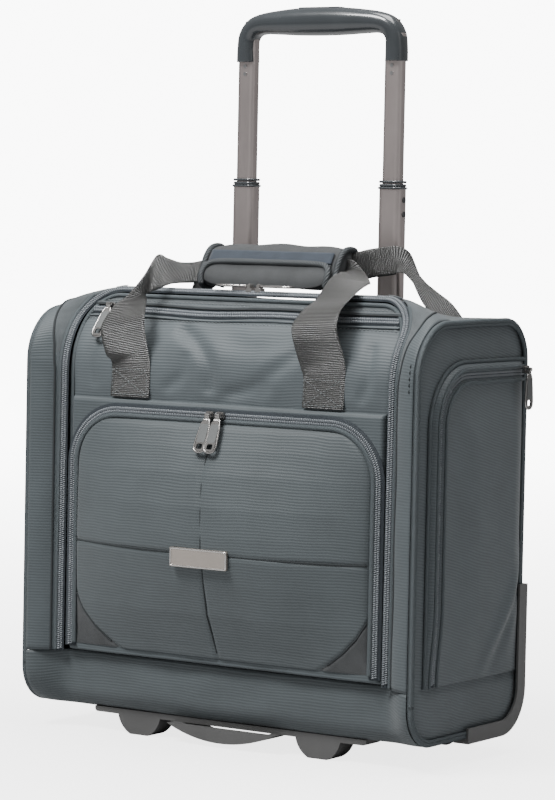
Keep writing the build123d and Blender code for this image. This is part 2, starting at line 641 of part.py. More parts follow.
def pull_shape():
    """The pull tab that hangs from the slider's bar."""
    eye = rod((0, -BAR_H, 0), 2.0, 4.4)
    neck = block((-2.2, 2.2), (-BAR_H - PULL_T / 2, -BAR_H + PULL_T / 2), (-7.0, -1.0))
    blade = Rot(90, 0, 0) * extrude(RectangleRounded(PULL_W, PULL_LENGTH - 6.0, 3.0), PULL_T / 2, both=True)
    blade = Pos(0, -BAR_H, -6.0 - (PULL_LENGTH - 6.0) / 2) * blade
    window = Pos(0, -BAR_H, -PULL_LENGTH + 4.5) * Rot(90, 0, 0) * extrude(
        RectangleRounded(PULL_W - 4, 5.0, 1.5), PULL_T, both=True
    )
    return eye + neck + blade - window - rod((0, -BAR_H, 0), BAR_R + PULL_FIT, 10)


def build_sliders():
    pocket_y = POCKET_Y[0] - ZIP_T
    pocket_z = POCKET_ZIP_TOP_Z - 0.6 - ZIP_W / 2
    slope = math.degrees(math.atan2(MID_CREST[0] - MID_LEAN[0], MID_CREST[1] - MID_LEAN[1]))
    out = LID_GAP + LID_T + ZIP_T
    lean_y = MID_LEAN[0] + (UPPER_SLIDER_Z - MID_LEAN[1]) * math.tan(math.radians(slope))
    upper_y = lean_y - out / math.cos(math.radians(slope))
    crest_y = MID_CREST[0] + 4 - SLIDER_L / 2
    crest_z = LID_TOP_Z + ZIP_GAP + ZIP_W
    side_x = CASE_HALF_W + SIDE_PANEL_T + SIDE_POCKET_T + ZIP_T
    crest = (SLIDER_W / 2 + 1.5, crest_y, crest_z)
    on_top = Plane(origin=crest, x_dir=(0, 1, 0), z_dir=(-1, 0, 0)).location
    places = {
        "pocket_left": (Pos(-10.5, pocket_y, pocket_z), PULL_LEAN),
        "pocket_right": (Pos(0.5, pocket_y, pocket_z), PULL_LEAN),
        "upper": (Pos(-144, upper_y, UPPER_SLIDER_Z) * Rot(-slope, 0, 0), 0),
        "main_right": (on_top, 0),
        "side_right": (Pos(side_x, SIDE_POCKET_REAR_Y - 8, SIDE_POCKET_TOP_Z - 9) * Rot(0, 0, 90), 0),
    }
    slider = slider_shape()
    pull = pull_shape()
    for name, (place, lean) in places.items():
        hinge = Pos(0, -BAR_H, 0) * Rot(-lean, 0, 0) * Pos(0, BAR_H, 0)
        add(name + "_slider", place * slider)
        add(name + "_pull", place * hinge * pull)
    for name in ("main", "side"):
        for piece in ("_slider", "_pull"):
            PARTS[name + "_left" + piece] = mirrored(PARTS[name + "_right" + piece])


# ---------------------------------------------------------------- fasteners
def build_screws():
    """Heads of the screws that hold the base bar on."""
    screws = []
    for x in SCREW_X:
        head = rod((x, FOOT_Y + 6, BASE_Z - BAR_T - 0.5), SCREW_R, 1.0, "Z")
        screws += [head, mirrored(head)]
    add("base_screws", *screws)


def main():
    build_case()
    build_sides()
    build_inside()
    build_base()
    build_corner_guards()
    build_wheels()
    build_handle()
    build_grip()
    build_front()
    build_straps()
    build_sliders()
    build_screws()
    os.makedirs("parts", exist_ok=True)
    for name, shape in PARTS.items():
        solids = [Pos(0, FRAME_SHIFT_Y, 0) * solid for solid in shape.solids()]
        shape = solids[0] if len(solids) == 1 else Compound(children=solids)
        export_step(shape, os.path.join("parts", name + ".step"))
    print(len(PARTS), "nodes")


if __name__ == "__main__":
    main()
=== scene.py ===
import math

import bpy
import numpy as np
from mathutils import Matrix, Vector


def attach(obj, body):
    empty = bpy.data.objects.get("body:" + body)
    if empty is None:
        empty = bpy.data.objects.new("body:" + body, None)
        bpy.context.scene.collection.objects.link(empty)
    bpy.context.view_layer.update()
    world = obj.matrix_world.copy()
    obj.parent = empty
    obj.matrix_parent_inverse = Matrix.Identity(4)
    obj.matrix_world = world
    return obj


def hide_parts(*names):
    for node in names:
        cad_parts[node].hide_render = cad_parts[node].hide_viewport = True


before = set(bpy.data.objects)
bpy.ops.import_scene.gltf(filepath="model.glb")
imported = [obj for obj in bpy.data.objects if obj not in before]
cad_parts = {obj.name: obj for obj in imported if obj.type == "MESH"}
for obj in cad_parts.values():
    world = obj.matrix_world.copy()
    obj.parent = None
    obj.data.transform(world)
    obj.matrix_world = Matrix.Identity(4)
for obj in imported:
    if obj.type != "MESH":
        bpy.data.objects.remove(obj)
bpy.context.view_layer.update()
SHIFT_Y = -7.0            # the frame's origin is under the middle of the whole case


# ---------------------------------------------------------------- shader helpers
def new_material(name, rough=0.6, metal=0.0, spec=0.5):
    """A material with its node tree and its shader."""
    m = bpy.data.materials.new(name)
    m.use_nodes = True
    t = m.node_tree
    b = t.nodes["Principled BSDF"]
    b.inputs["Roughness"].default_value = rough
    b.inputs["Metallic"].default_value = metal
    b.inputs["Specular IOR Level"].default_value = spec
    return m, t, b


def node(t, kind, **values):
    n = t.nodes.new(kind)
    for k, v in values.items():
        setattr(n, k, v)
    return n


def math_node(t, op, *values):
    """A math node; each value is a number or another node's output."""
    n = node(t, "ShaderNodeMath", operation=op)
    for i, v in enumerate(values):
        if isinstance(v, (int, float)):
            n.inputs[i].default_value = v
        else:
            t.links.new(v, n.inputs[i])
    return n.outputs[0]


def mul_add(t, a, b, c):
    return math_node(t, "MULTIPLY_ADD", a, b, c)


def waves(t, coord, pitch):
    """A sine along a coordinate, with one wave for each pitch."""
    return math_node(t, "SINE", math_node(t, "MULTIPLY", coord, 2 * math.pi / pitch))


def noise(t, coord, scale, detail):
    n = node(t, "ShaderNodeTexNoise")
    n.inputs["Scale"].default_value = scale
    n.inputs["Detail"].default_value = detail
    n.inputs["Roughness"].default_value = 0.55
    t.links.new(coord, n.inputs["Vector"])
    return n.outputs[0]


def ramp(t, fac, stops):
    n = node(t, "ShaderNodeValToRGB")
    for e, (position, color) in zip(n.color_ramp.elements, stops):
        e.position = position
        e.color = (*color, 1)
    t.links.new(fac, n.inputs[0])
    return n.outputs[0]


def tint(t, b, tone, color, low, high):
    """The shader's colour from a tone; low and high hold a place on the ramp and a factor."""
    stops = [(place, tuple(min(1.0, v * k) for v in color)) for place, k in (low, high)]
    t.links.new(ramp(t, tone, stops), b.inputs["Base Color"])


def bump(t, b, height, distance, strength):
    n = node(t, "ShaderNodeBump")
    n.inputs["Strength"].default_value = strength
    n.inputs["Distance"].default_value = distance
    t.links.new(height, n.inputs["Height"])
    t.links.new(n.outputs[0], b.inputs["Normal"])


def uv_parts(t):
    """The UV vector and its two coordinates, all in metres."""
    uv = node(t, "ShaderNodeUVMap").outputs[0]
    sep = node(t, "ShaderNodeSeparateXYZ")
    t.links.new(uv, sep.inputs[0])
    return uv, sep.outputs[0], sep.outputs[1]


# ---------------------------------------------------------------- materials
RIB_PITCH, THREAD_PITCH = 0.0026, 0.0024


def fabric_material(name, color, warp=0.8):
    """Ribbed weave: the ribs run along U and wander by warp, with fine threads across them."""
    m, t, b = new_material(name, 0.58, 0.0, 0.35)
    uv, u, v = uv_parts(t)
    phase = mul_add(t, noise(t, uv, 9.0, 2.0), warp * 5.0, math_node(t, "MULTIPLY", v, 1.0 / RIB_PITCH))
    phase = mul_add(t, noise(t, uv, 45.0, 2.0), warp * 0.7, phase)
    ribs = waves(t, phase, 1.0)
    yarn = noise(t, uv, 1600.0, 1.0)
    tone = mul_add(t, ribs, 0.13, 0.5)
    tone = mul_add(t, noise(t, uv, 26.0, 3.0), 0.30, math_node(t, "SUBTRACT", tone, 0.15))
    tone = mul_add(t, yarn, 0.24, math_node(t, "SUBTRACT", tone, 0.12))
    tint(t, b, tone, color, (0.2, 0.66), (0.8, 1.32))
    height = mul_add(t, yarn, 0.4, mul_add(t, waves(t, u, THREAD_PITCH), 0.12, ribs))
    bump(t, b, height, 0.0004, 0.22)
    b.inputs["Sheen Weight"].default_value = 0.12
    b.inputs["Sheen Roughness"].default_value = 0.5
    return m


def cloth_material(name, color, rough=0.68):
    """A smooth, tight weave."""
    m, t, b = new_material(name, rough, 0.0, 0.3)
    uv, u, v = uv_parts(t)
    weave = math_node(t, "MULTIPLY", waves(t, u, 0.0008), waves(t, v, 0.0008))
    soft = noise(t, uv, 60.0, 4.0)
    tint(t, b, soft, color, (0.3, 0.86), (0.7, 1.16))
    bump(t, b, mul_add(t, soft, 0.8, weave), 0.0002, 0.5)
    b.inputs["Sheen Weight"].default_value = 0.12
    return m


def twill_material(name, color, pitch=0.0016, rough=0.66, slope=1.0):
    """Diagonal twill on tape and binding."""
    m, t, b = new_material(name, rough, 0.0, 0.35)
    uv, u, v = uv_parts(t)
    lines = waves(t, mul_add(t, u, slope, v), pitch)
    tone = mul_add(t, noise(t, uv, 900.0, 2.0), 0.3, mul_add(t, lines, 0.2, 0.35))
    tint(t, b, tone, color, (0.15, 0.6), (0.85, 1.4))
    bump(t, b, lines, 0.0003, 0.8)
    return m


def webbing_material(name, color):
    """Heavy webbing with ribs across its width; U runs along the strap."""
    m, t, b = new_material(name, 0.34, 0.0, 1.0)
    uv, u, v = uv_parts(t)
    ribs = waves(t, u, 0.0016)
    tone = mul_add(t, ribs, 0.2, mul_add(t, noise(t, uv, 500.0, 2.0), 0.3, 0.35))
    tint(t, b, tone, color, (0.2, 0.62), (0.85, 1.35))
    bump(t, b, mul_add(t, waves(t, v, 0.0006), 0.2, ribs), 0.0004, 0.9)
    b.inputs["Sheen Weight"].default_value = 0.05
    return m


def solid_material(name, color, rough=0.5, metal=0.0, grain=900.0, depth=0.00006, strength=0.35, coat=0.0):
    """Plastic, rubber or metal with a fine surface texture and soft variation."""
    m, t, b = new_material(name, rough, metal)
    coord = node(t, "ShaderNodeTexCoord").outputs["Object"]
    wide = noise(t, coord, 30.0, 4.0)
    tint(t, b, wide, color, (0.3, 0.92), (0.7, 1.08))
    t.links.new(mul_add(t, wide, 0.12, rough - 0.06), b.inputs["Roughness"])
    bump(t, b, noise(t, coord, grain, 2.0), depth, strength)
    b.inputs["Coat Weight"].default_value = coat
    return m


def brushed_material(name, color, rough, scale=(1.0, 1.0, 0.02)):
    """Anodised or brushed metal with fine lines along the axis that scale makes small."""
    m, t, b = new_material(name, rough, 1.0)
    coord = node(t, "ShaderNodeTexCoord").outputs["Object"]
    mapping = node(t, "ShaderNodeMapping")
    mapping.inputs["Scale"].default_value = scale
    t.links.new(coord, mapping.inputs[0])
    lines = noise(t, mapping.outputs[0], 2500.0, 3.0)
    tint(t, b, noise(t, coord, 22.0, 3.0), color, (0.3, 0.93), (0.7, 1.06))
    t.links.new(mul_add(t, lines, 0.16, rough - 0.08), b.inputs["Roughness"])
    bump(t, b, lines, 0.00003, 0.15)
    return m


MAT = {
    "shell": fabric_material("shell_fabric", (0.072, 0.086, 0.093)),
    "panel": fabric_material("panel_fabric", (0.062, 0.074, 0.079)),
    "gusset": fabric_material("gusset_fabric", (0.062, 0.075, 0.081), 0.25),
    "smooth": cloth_material("smooth_cloth", (0.046, 0.049, 0.051)),
    "wedge": cloth_material("wedge_cloth", (0.070, 0.080, 0.085)),
    "twill": twill_material("binding_twill", (0.075, 0.090, 0.097)),
    "cord": twill_material("thick_binding", (0.050, 0.056, 0.060), 0.0026, 0.6, 0.8),
    "tape": twill_material("zip_tape", (0.034, 0.042, 0.050), 0.0011, 0.7),
    "coil": solid_material("zip_coil", (0.15, 0.165, 0.18), 0.28, 0.0, 1500.0),
    "webbing": webbing_material("webbing", (0.034, 0.034, 0.032)),
    "thread": solid_material("thread", (0.17, 0.185, 0.19), 0.7, 0.0, 2000.0),
    # seam_shadow is painted shade: its near-black cords sit in the seam grooves and under the upper zip's welt
    # in place of the shade there
    "seam": solid_material("seam_shadow", (0.022, 0.026, 0.028), 0.9),
    "plastic": solid_material("moulded_plastic", (0.086, 0.086, 0.085), 0.5, 0.0, 1400.0, 0.0001, 0.5),
    "grip": solid_material("grip_plastic", (0.034, 0.039, 0.043), 0.26, 0.0, 1600.0, 0.00004, 0.25, 0.6),
    "tube": brushed_material("anodised_tube", (0.56, 0.50, 0.485), 0.36),
    "gunmetal": solid_material("gunmetal", (0.34, 0.33, 0.32), 0.24, 1.0, 700.0, 0.00003, 0.2),
    "nickel": solid_material("bright_nickel", (0.62, 0.60, 0.58), 0.2, 1.0, 700.0, 0.00003, 0.2),
    "plate": brushed_material("plate_metal", (0.50, 0.455, 0.41), 0.42, (0.02, 1.0, 1.0)),
    "steel": solid_material("steel", (0.45, 0.45, 0.45), 0.3, 1.0),
    "rubber": solid_material("tyre_rubber", (0.018, 0.018, 0.019), 0.75, 0.0, 900.0, 0.0002, 0.5),
    "hub": solid_material("hub_plastic", (0.040, 0.040, 0.042), 0.45),
    "lining": cloth_material("lining_cloth", (0.035, 0.037, 0.040), 0.8),
    "board": solid_material("board", (0.03, 0.03, 0.03), 0.6),
    "insert": solid_material("pull_insert", (0.11, 0.115, 0.115), 0.4, 0.3),
    "loop_strip": cloth_material("loop_strip", (0.045, 0.055, 0.070), 0.95),
}


# ---------------------------------------------------------------- curves and grids, all in design millimetres
def smooth01(x):
    x = np.clip(x, 0, 1)
    return x * x * (3 - 2 * x)


def bell(x, width):
    return np.exp(-((x / width) ** 2))


def eased(n):
    """n values from -1 to 1, closer together near both ends."""
    return np.sin(np.linspace(-1, 1, n) * np.pi / 2)


def squared(c, power):
    """A cosine or sine made flatter, for rounded rectangles."""
    return np.sign(c) * np.abs(c) ** power


def arc_length(path):
    return np.r_[0, np.cumsum(np.linalg.norm(np.diff(path, axis=0), axis=1))]


def at_length(s, d, path):
    """The path's point at the length s, d being the lengths at its points."""
    return np.array([np.interp(s, d, path[:, k]) for k in range(path.shape[1])])


def resample(path, n, closed=False):
    """n evenly spaced points along a path."""
    p = np.asarray(path, float)
    if closed:
        p = np.vstack([p, p[:1]])
    d = arc_length(p)
    return at_length(np.linspace(0, d[-1], n, endpoint=not closed), d, p).T


def curve_through(points, per=10):
    """A smooth curve with the same number of steps between every two points."""
    p = np.asarray(points, float)
    q = np.vstack([2 * p[0] - p[1], p, 2 * p[-1] - p[-2]])
    t = np.linspace(0, 1, per, endpoint=False)[:, None]
    out = []
    for a, b, c, d in zip(q[:-3], q[1:-2], q[2:-1], q[3:]):
        square, cube = 2 * a - 5 * b + 4 * c - d, 3 * b - a - 3 * c + d
        out.append(0.5 * ((2 * b) + (c - a) * t + square * t**2 + cube * t**3))
    return np.vstack(out + [p[-1:]])


def spline(points, n):
    """A smooth curve through the points, evenly spaced."""
    return resample(curve_through(points, 24), n)


def tangents(path, closed=False):
    d = np.roll(path, -1, 0) - np.roll(path, 1, 0) if closed else np.gradient(path, axis=0)
    return d / np.maximum(np.linalg.norm(d, axis=1, keepdims=True), 1e-9)


def path_distance(p, path):
    """Distance of points from an open path, both in a plane."""
    d = np.full(len(p), 1e9)
    for a, b in zip(path[:-1], path[1:]):
        ab = b - a
        t = np.clip(((p - a) @ ab) / max(ab @ ab, 1e-9), 0, 1)
        d = np.minimum(d, np.linalg.norm(p - (a + t[:, None] * ab), axis=1))
    return d


def rounded(points, radii, n_arc=12, n_line=18):
    """A closed outline with rounded corners, with the same number of points for any size."""
    pts = np.asarray(points, float)
    arcs = []
    for i, r in enumerate(radii):
        a, b, c = pts[i - 1], pts[i], pts[(i + 1) % len(pts)]
        u = (a - b) / np.linalg.norm(a - b)
        v = (c - b) / np.linalg.norm(c - b)
        half = math.acos(np.clip(u @ v, -1, 1)) / 2
        cut = r / math.tan(half)
        centre = b + (u + v) / np.linalg.norm(u + v) * r / math.sin(half)
        start, end = (math.atan2(q[1], q[0]) for q in (b + u * cut - centre, b + v * cut - centre))
        turn = (end - start + math.pi) % (2 * math.pi) - math.pi
        ang = start + turn * np.linspace(0, 1, n_arc)
        arcs.append(centre + r * np.stack([np.cos(ang), np.sin(ang)], 1))
    out = []
    for arc, following in zip(arcs, arcs[1:] + arcs[:1]):
        steps = np.linspace(0, 1, n_line, endpoint=False)[1:, None]
        out += [arc, arc[-1] + (following[0] - arc[-1]) * steps]
    return np.vstack(out)


def rounded_box(x, z, radius, n_arc, n_line, n):
    """A rounded rectangle between two x and two z values, as n even points."""
    corners = [(x[0], z[0]), (x[1], z[0]), (x[1], z[1]), (x[0], z[1])]
    return resample(rounded(corners, [radius] * 4, n_arc, n_line), n, closed=True)


def arch_path(half, bottom, top, r, n=400):
    """Up the left side, over and down the right, in (x, z)."""
    ang = np.linspace(np.pi, np.pi / 2, 24)
    left = np.stack([-half + r + r * np.cos(ang), top - r + r * np.sin(ang)], 1)
    right = left[::-1] * [-1, 1]
    return resample(np.vstack([[[-half, bottom]], left, right, [[half, bottom]]]), n)


def arch_half(z, half, top, r):
    """Half the width at a height of the same arch."""
    return half - r + np.sqrt(np.clip(r**2 - np.clip(z - top + r, 0, None) ** 2, 0, r**2))


def arch_grid(z, cols, half, top, r):
    """Rows of x across such an arch at the heights z, each row's z, and each row's half width."""
    wide = arch_half(z, half, top, r)[:, None]
    x = eased(cols)[None, :] * wide
    return x, np.broadcast_to(z[:, None], x.shape), wide


def offset_outline(curve, d):
    """A closed outline moved outwards."""
    t = tangents(curve, closed=True)
    return curve + np.stack([t[:, 1], -t[:, 0]], 1) * d


def span(curve, start, end, n):
    """The stretch of a closed outline between the points nearest to start and end."""
    fine = resample(curve, 1600, closed=True)
    i, j = (int(np.argmin(np.linalg.norm(fine - np.array(q), axis=1))) for q in (start, end))
    if j <= i:
        j += len(fine)
    return resample(fine[np.arange(i, j + 1) % len(fine)], n)


def grid_faces(n, m, wrap=False, flip=False):
    """Quads of an n by m grid; wrap joins the last column to the first."""
    i = np.arange(n - 1)[:, None]
    j = np.arange(m if wrap else m - 1)[None, :]
    a = i * m + j
    b = i * m + (j + 1) % m
    f = np.stack([a, b, b + m, a + m], -1).reshape(-1, 4)
    return f[:, ::-1] if flip else f


def capped_faces(n, m):
    """The faces of a tube of n rings with m points each, closed at both ends."""
    return grid_faces(n, m, wrap=True).tolist() + [list(range(m))[::-1], list(range((n - 1) * m, n * m))]


def grid_normals(p):
    n = np.cross(np.gradient(p, axis=1), np.gradient(p, axis=0))
    return n / np.maximum(np.linalg.norm(n, axis=-1, keepdims=True), 1e-9)


def grid_uv(p):
    """Arc-length coordinates of a grid, in metres, measured along its middle lines."""
    u = np.zeros(p.shape[:2])
    u[:, 1:] = np.cumsum(np.linalg.norm(np.diff(p, axis=1), axis=-1), axis=1)
    middle = p.shape[1] // 2
    v = arc_length(p[:, middle])
    return np.stack(np.broadcast_arrays((u - u[:, middle][:, None]) / 1000, v[:, None] / 1000), -1)


def pair(u, v):
    """UV coordinates in metres from two sets of millimetres."""
    return np.stack(np.broadcast_arrays(np.asarray(u) / 1000, np.asarray(v) / 1000), -1)


# ---------------------------------------------------------------- meshes from design millimetres
SIDES = ((-1, "left"), (1, "right"))
CASE_MIDDLE = np.array([0.0, 14.0, 200.0])
WRAP_MIDDLE = np.array([0.0, 18.0, 426.0])
FORWARD = np.array([0, -1, 0.0])


def make_mesh(name, verts, faces, uvs=None, mats=("shell",), face_mat=None, smooth=True):
    """verts in design mm; uvs holds one (u, v) per vertex, in metres."""
    me = bpy.data.meshes.new(name)
    placed = (np.array(verts, float).reshape(-1, 3) + [0, SHIFT_Y, 0]) / 1000.0
    me.from_pydata(placed.tolist(), [], [list(map(int, f)) for f in faces])
    if uvs is not None:
        layer = me.uv_layers.new(name="UVMap")
        loops = np.zeros(len(me.loops), np.int32)
        me.loops.foreach_get("vertex_index", loops)
        layer.data.foreach_set("uv", np.asarray(uvs, float).reshape(-1, 2)[loops].ravel())
    for m in mats:
        me.materials.append(MAT[m])
    if face_mat is not None:
        me.polygons.foreach_set("material_index", np.asarray(face_mat, np.int32))
    me.polygons.foreach_set("use_smooth", [smooth] * len(me.polygons))
    o = bpy.data.objects.new(name, me)
    bpy.context.scene.collection.objects.link(o)
    return o


def finish_piece(o, body, nodes):
    """Puts a piece on its body, in place of CAD nodes."""
    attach(o, body)
    if nodes:
        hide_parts(*nodes)


def join(name, objects):
    """Several meshes as one piece."""
    bpy.ops.object.select_all(action="DESELECT")
    for o in objects:
        o.select_set(True)
    bpy.context.view_layer.objects.active = objects[-1]
    bpy.ops.object.join()
    o = bpy.context.view_layer.objects.active
    o.name = o.data.name = name
    return o


def patch(name, p, mats, uv=None, thick=1.2, face_mat=None, inside=CASE_MIDDLE, cut=None):
    """A sheet of cloth from a grid of points, facing away from a point inside, with its thickness behind it.

    cut(x, y, z) is true where the sheet has an opening."""
    n, m, _ = p.shape
    faces = grid_faces(n, m, flip=np.sum(grid_normals(p) * (p - inside)) < 0)
    if cut is not None:
        faces = faces[~cut(*p.reshape(-1, 3)[faces].mean(1).T)]
    o = make_mesh(name, p, faces, grid_uv(p) if uv is None else uv, mats, face_mat)
    if thick:
        mod = o.modifiers.new("thickness", "SOLIDIFY")
        mod.thickness = thick / 1000
        mod.offset = -1.0
    return o


def tube_mesh(name, path, radius, mat, closed=False, sides=10, up=(0, 0, 1)):
    """A round cord along a path; up is one direction, or one for each point."""
    t = tangents(path, closed)
    a = np.cross(t, np.asarray(up, float) * np.ones_like(path))
    a /= np.maximum(np.linalg.norm(a, axis=1, keepdims=True), 1e-6)
    b = np.cross(a, t)
    ang = np.linspace(0, 2 * np.pi, sides, endpoint=False)
    turned = a[:, None] * np.cos(ang)[None, :, None] + b[:, None] * np.sin(ang)[None, :, None]
    n = len(path)
    if closed:
        faces = grid_faces(n, sides, wrap=True)
        first = np.arange(sides)
        last = first + (n - 1) * sides
        faces = np.vstack([faces, np.stack([last, np.roll(last, -1), np.roll(first, -1), first], -1)])
    else:
        faces = capped_faces(n, sides)
    uv = pair(arc_length(path)[:, None], ang * radius)
    return make_mesh(name, path[:, None] + radius * turned, faces, uv, (mat,))


def ribbon(name, centre, across, width, thick, square=True):
    """Flat webbing: centre line, direction across it and width at each point, with rounded edges."""
    t = tangents(centre)
    w = across - t * np.sum(across * t, axis=1, keepdims=True) if square else across
    w = w / np.linalg.norm(w, axis=1, keepdims=True)
    normal = np.cross(w, t)
    normal /= np.maximum(np.linalg.norm(normal, axis=1, keepdims=True), 1e-6)
    s = np.linspace(-1, 1, 14)
    edge = np.sqrt(np.clip(1 - np.abs(s) ** 12, 0, 1)) * 0.5 * thick
    edge[0] = edge[-1] = 0.15 * thick
    flat = centre[:, None] + w[:, None] * (s[None, :, None] * width[:, None, None] / 2)
    out = normal[:, None] * edge[None, :, None]
    ring = np.concatenate([flat + out, (flat - out)[:, ::-1]], axis=1)
    uv = pair(arc_length(centre)[:, None], np.concatenate([s, s[::-1]]) * width.mean() / 2)
    return make_mesh(name, ring, capped_faces(len(centre), 2 * len(s)), uv, ("webbing",))


def stitches(name, path, normals, mat="thread", length=2.6, gap=1.4, radius=0.35):
    """A row of short threads that lie on a surface."""
    normals = normals * np.ones_like(path)
    d = arc_length(path)
    verts, faces, uvs = [], [], []
    for s in np.arange(0, d[-1] - length, length + gap):
        a, b, n = at_length(s, d, path), at_length(s + length, d, path), at_length(s, d, normals)
        n /= max(np.linalg.norm(n), 1e-9)
        w = np.cross((b - a) / max(np.linalg.norm(b - a), 1e-9), n)
        base = len(verts)
        for f, r in ((0.0, 0.4), (0.25, 1.0), (0.75, 1.0), (1.0, 0.4)):
            c = a + (b - a) * f + n * radius * (0.9 if 0 < f < 1 else -0.2)
            for ca, sa in ((1, 0), (0, 1), (-1, 0), (0, -1)):
                verts.append(c + w * radius * r * ca + n * radius * r * sa)
                uvs.append((f * 0.002, 0))
        faces += (grid_faces(4, 4, wrap=True) + base).tolist()
    return make_mesh(name, verts, faces, uvs, (mat,))


TOOTH_PITCH, COIL_WIDTH = 1.9, 5.6
# the tape's section: share of its width, and height
TAPE_ACROSS = np.array([-0.5, -0.44, -0.2, -0.17, 0.0, 0.17, 0.2, 0.44, 0.5])
TAPE_HIGH = np.array([-0.6, 0.1, 0.1, 0.5, 0.2, 0.5, 0.1, 0.1, -0.6])
# one coil loop: share of the coil's width, height, and the loop's own section
LOOP_RUN = ((0.02, 0.55), (0.10, 1.35), (0.30, 1.55), (0.46, 1.1), (0.5, 0.1))
LOOP_SECTION = ((-0.42, 0.0), (-0.34, 0.75), (0.34, 0.75), (0.42, 0.0))


def zip_run(name, path, normals, tape):
    """A closed zip: tape on both sides, and two rows of coil loops that mesh in the middle."""
    path = resample(path, len(path))
    d = arc_length(path)
    t = tangents(path)
    n = normals - t * np.sum(normals * t, axis=1, keepdims=True)
    n /= np.linalg.norm(n, axis=1, keepdims=True)
    across = TAPE_ACROSS * tape
    p = path[:, None] + np.cross(t, n)[:, None] * across[None, :, None] + n[:, None] * TAPE_HIGH[None, :, None]
    flat = make_mesh(name + "_tape", p, grid_faces(*p.shape[:2]), pair(d[:, None], across), ("tape",))
    verts, faces, uvs = [], [], []
    for row in (-1, 1):
        loop_faces = grid_faces(len(LOOP_RUN), len(LOOP_SECTION), flip=row < 0)
        for s in np.arange(TOOTH_PITCH, d[-1] - TOOTH_PITCH, TOOTH_PITCH):
            s = s + 0.25 * row * TOOTH_PITCH
            c, along, high = at_length(s, d, path), at_length(s, d, t), at_length(s, d, n)
            out = np.cross(along, high) * row
            faces += (loop_faces + len(verts)).tolist()
            for a, h in LOOP_RUN:
                lean = (a - 0.25) * 0.9 * row
                for sx, sh in LOOP_SECTION:
                    ahead = sx * TOOTH_PITCH * 0.86 + lean
                    verts.append(c + out * a * COIL_WIDTH + along * ahead + high * (h * sh + 0.35))
                    uvs.append((s / 1000, a * COIL_WIDTH / 1000))
    return join(name, [make_mesh(name + "_teeth", verts, faces, uvs, ("coil",)), flat])


# ---------------------------------------------------------------- the case's outlines in (y, z)
FRONT_Y, REAR_Y, BASE_Z = -80.0, 108.0, 22.0
TOP_REAR_Z, BREAK_Y = 388.0, 30.0
HALF_W = 205.0
REAR_TOP = [(REAR_Y, BASE_Z), (REAR_Y, TOP_REAR_Z), (BREAK_Y, TOP_REAR_Z)]
MIDDLE = rounded([(-56.5, BASE_Z)] + REAR_TOP + [(-18.5, 404.5), (-56.5, 348.5)], [18, 36, 38, 120, 16, 60])
SIDE = rounded([(FRONT_Y, BASE_Z)] + REAR_TOP + [(-50.8, 387), (FRONT_Y, 357.8)], [36, 36, 38, 120, 48, 48])
LID_OUT = span(offset_outline(MIDDLE, 4.5), (-6, 406), (-61, 60), 400)[::-1]
LID_RISE = LID_OUT[: int(np.argmax(LID_OUT[:, 1])) + 1]


def lid_y(z):
    """Depth of the front panel's outer face at a height."""
    return np.interp(z, LID_RISE[:, 1], LID_RISE[:, 0])


def lid_normal(z):
    z = np.asarray(z, float)
    slope = (lid_y(z + 1.0) - lid_y(z - 1.0)) / 2.0
    n = np.stack([np.zeros_like(z), -np.ones_like(z), slope], -1)
    return n / np.linalg.norm(n, axis=-1, keepdims=True)


def on_lid(x, z, stand):
    """Points standing off the front panel's face, with the face's normals."""
    n = lid_normal(z)
    return np.stack([x, lid_y(z), z], 1) + n * stand, n


# ---------------------------------------------------------------- cloth round the case
def wrap_grid(middle, side, rows, cols, edge):
    """Points between two seams, running from the middle outline to the side outline beyond x = edge.

    Also gives each row's and each column's place across the piece."""
    m, s = span(MIDDLE, *middle, rows), span(SIDE, *side, rows)
    x = HALF_W * eased(cols)
    w = smooth01((np.abs(x) - edge) / (HALF_W - edge))
    yz = m[:, None] * (1 - w)[None, :, None] + s[:, None] * w[None, :, None]
    p = np.concatenate([np.broadcast_to(x[None, :, None], yz.shape[:2] + (1,)), yz], -1)
    return p, np.linspace(0, 1, rows)[:, None], x[None, :] / HALF_W


# name, CAD node, material, seams on the middle and on the side outline, rows, stuffing
WRAP_PIECES = (
    ("bottom_band_cloth", "bottom_band", "panel", ((-56.5, 73), (-36, 22)), ((-80, 71), (-42, 22)), 30, 2.6),
    ("base_cloth", "base_panel", "panel", ((-36, 22), (108, 60)), ((-42, 22), (108, 60)), 40, 0.6),
    ("back_cloth", "back_panel", "shell", ((108, 60), (108, 346)), ((108, 60), (108, 346)), 60, 1.5),
)
BEZEL_HALF, BEZEL_FRONT, BEZEL_BACK = 99.0, 69.0, 95.0


def under_bezel(x, y, z):
    """True where the pull handle's bezel passes through the top."""
    return (np.abs(x) < BEZEL_HALF) & (y > BEZEL_FRONT) & (y < BEZEL_BACK) & (z > 370)


def build_wrap():
    """Bottom band, base and back, softly stuffed between their seams, and the top with a slight sag."""
    for name, cad, mat, middle, side, rows, puff in WRAP_PIECES:
        p, i, j = wrap_grid(middle, side, rows, 71, 170.0)
        n = grid_normals(p)
        centre = rows // 2, 35
        if n[centre] @ (p[centre] - np.array([0, 10, 200])) < 0:
            n = -n
        lift = puff * (np.clip(4 * i * (1 - i), 0, 1) ** 0.5) * (1 - np.abs(j) ** 6) ** 0.7
        wave = 0.7 * np.sin(j * 9 + i * 4) * np.sin(i * 7 + 1.3) * (lift / puff)
        o = patch(name, p + n * (lift + wave)[..., None], (mat,))
        finish_piece(o, "case", [cad])
    p, i, j = wrap_grid(((108, 346), (-12.5, 402.5)), ((108, 346), (-20, 387)), 60, 81, 150)
    p[..., 2] += 1.6 * np.sin(j * 5 + 0.6) * np.sin(i * 5.0) * (1 - j**4)
    o = patch("top_cloth", p, ("wedge",), cut=under_bezel)
    finish_piece(o, "case", ["top_panel"])


# how proud of the panel's face its surround stands, by height
PROUD_Z, PROUD = [71, 330, 370, 390, 403], [6.0, 5.0, 4.0, 2.0, 0.6]


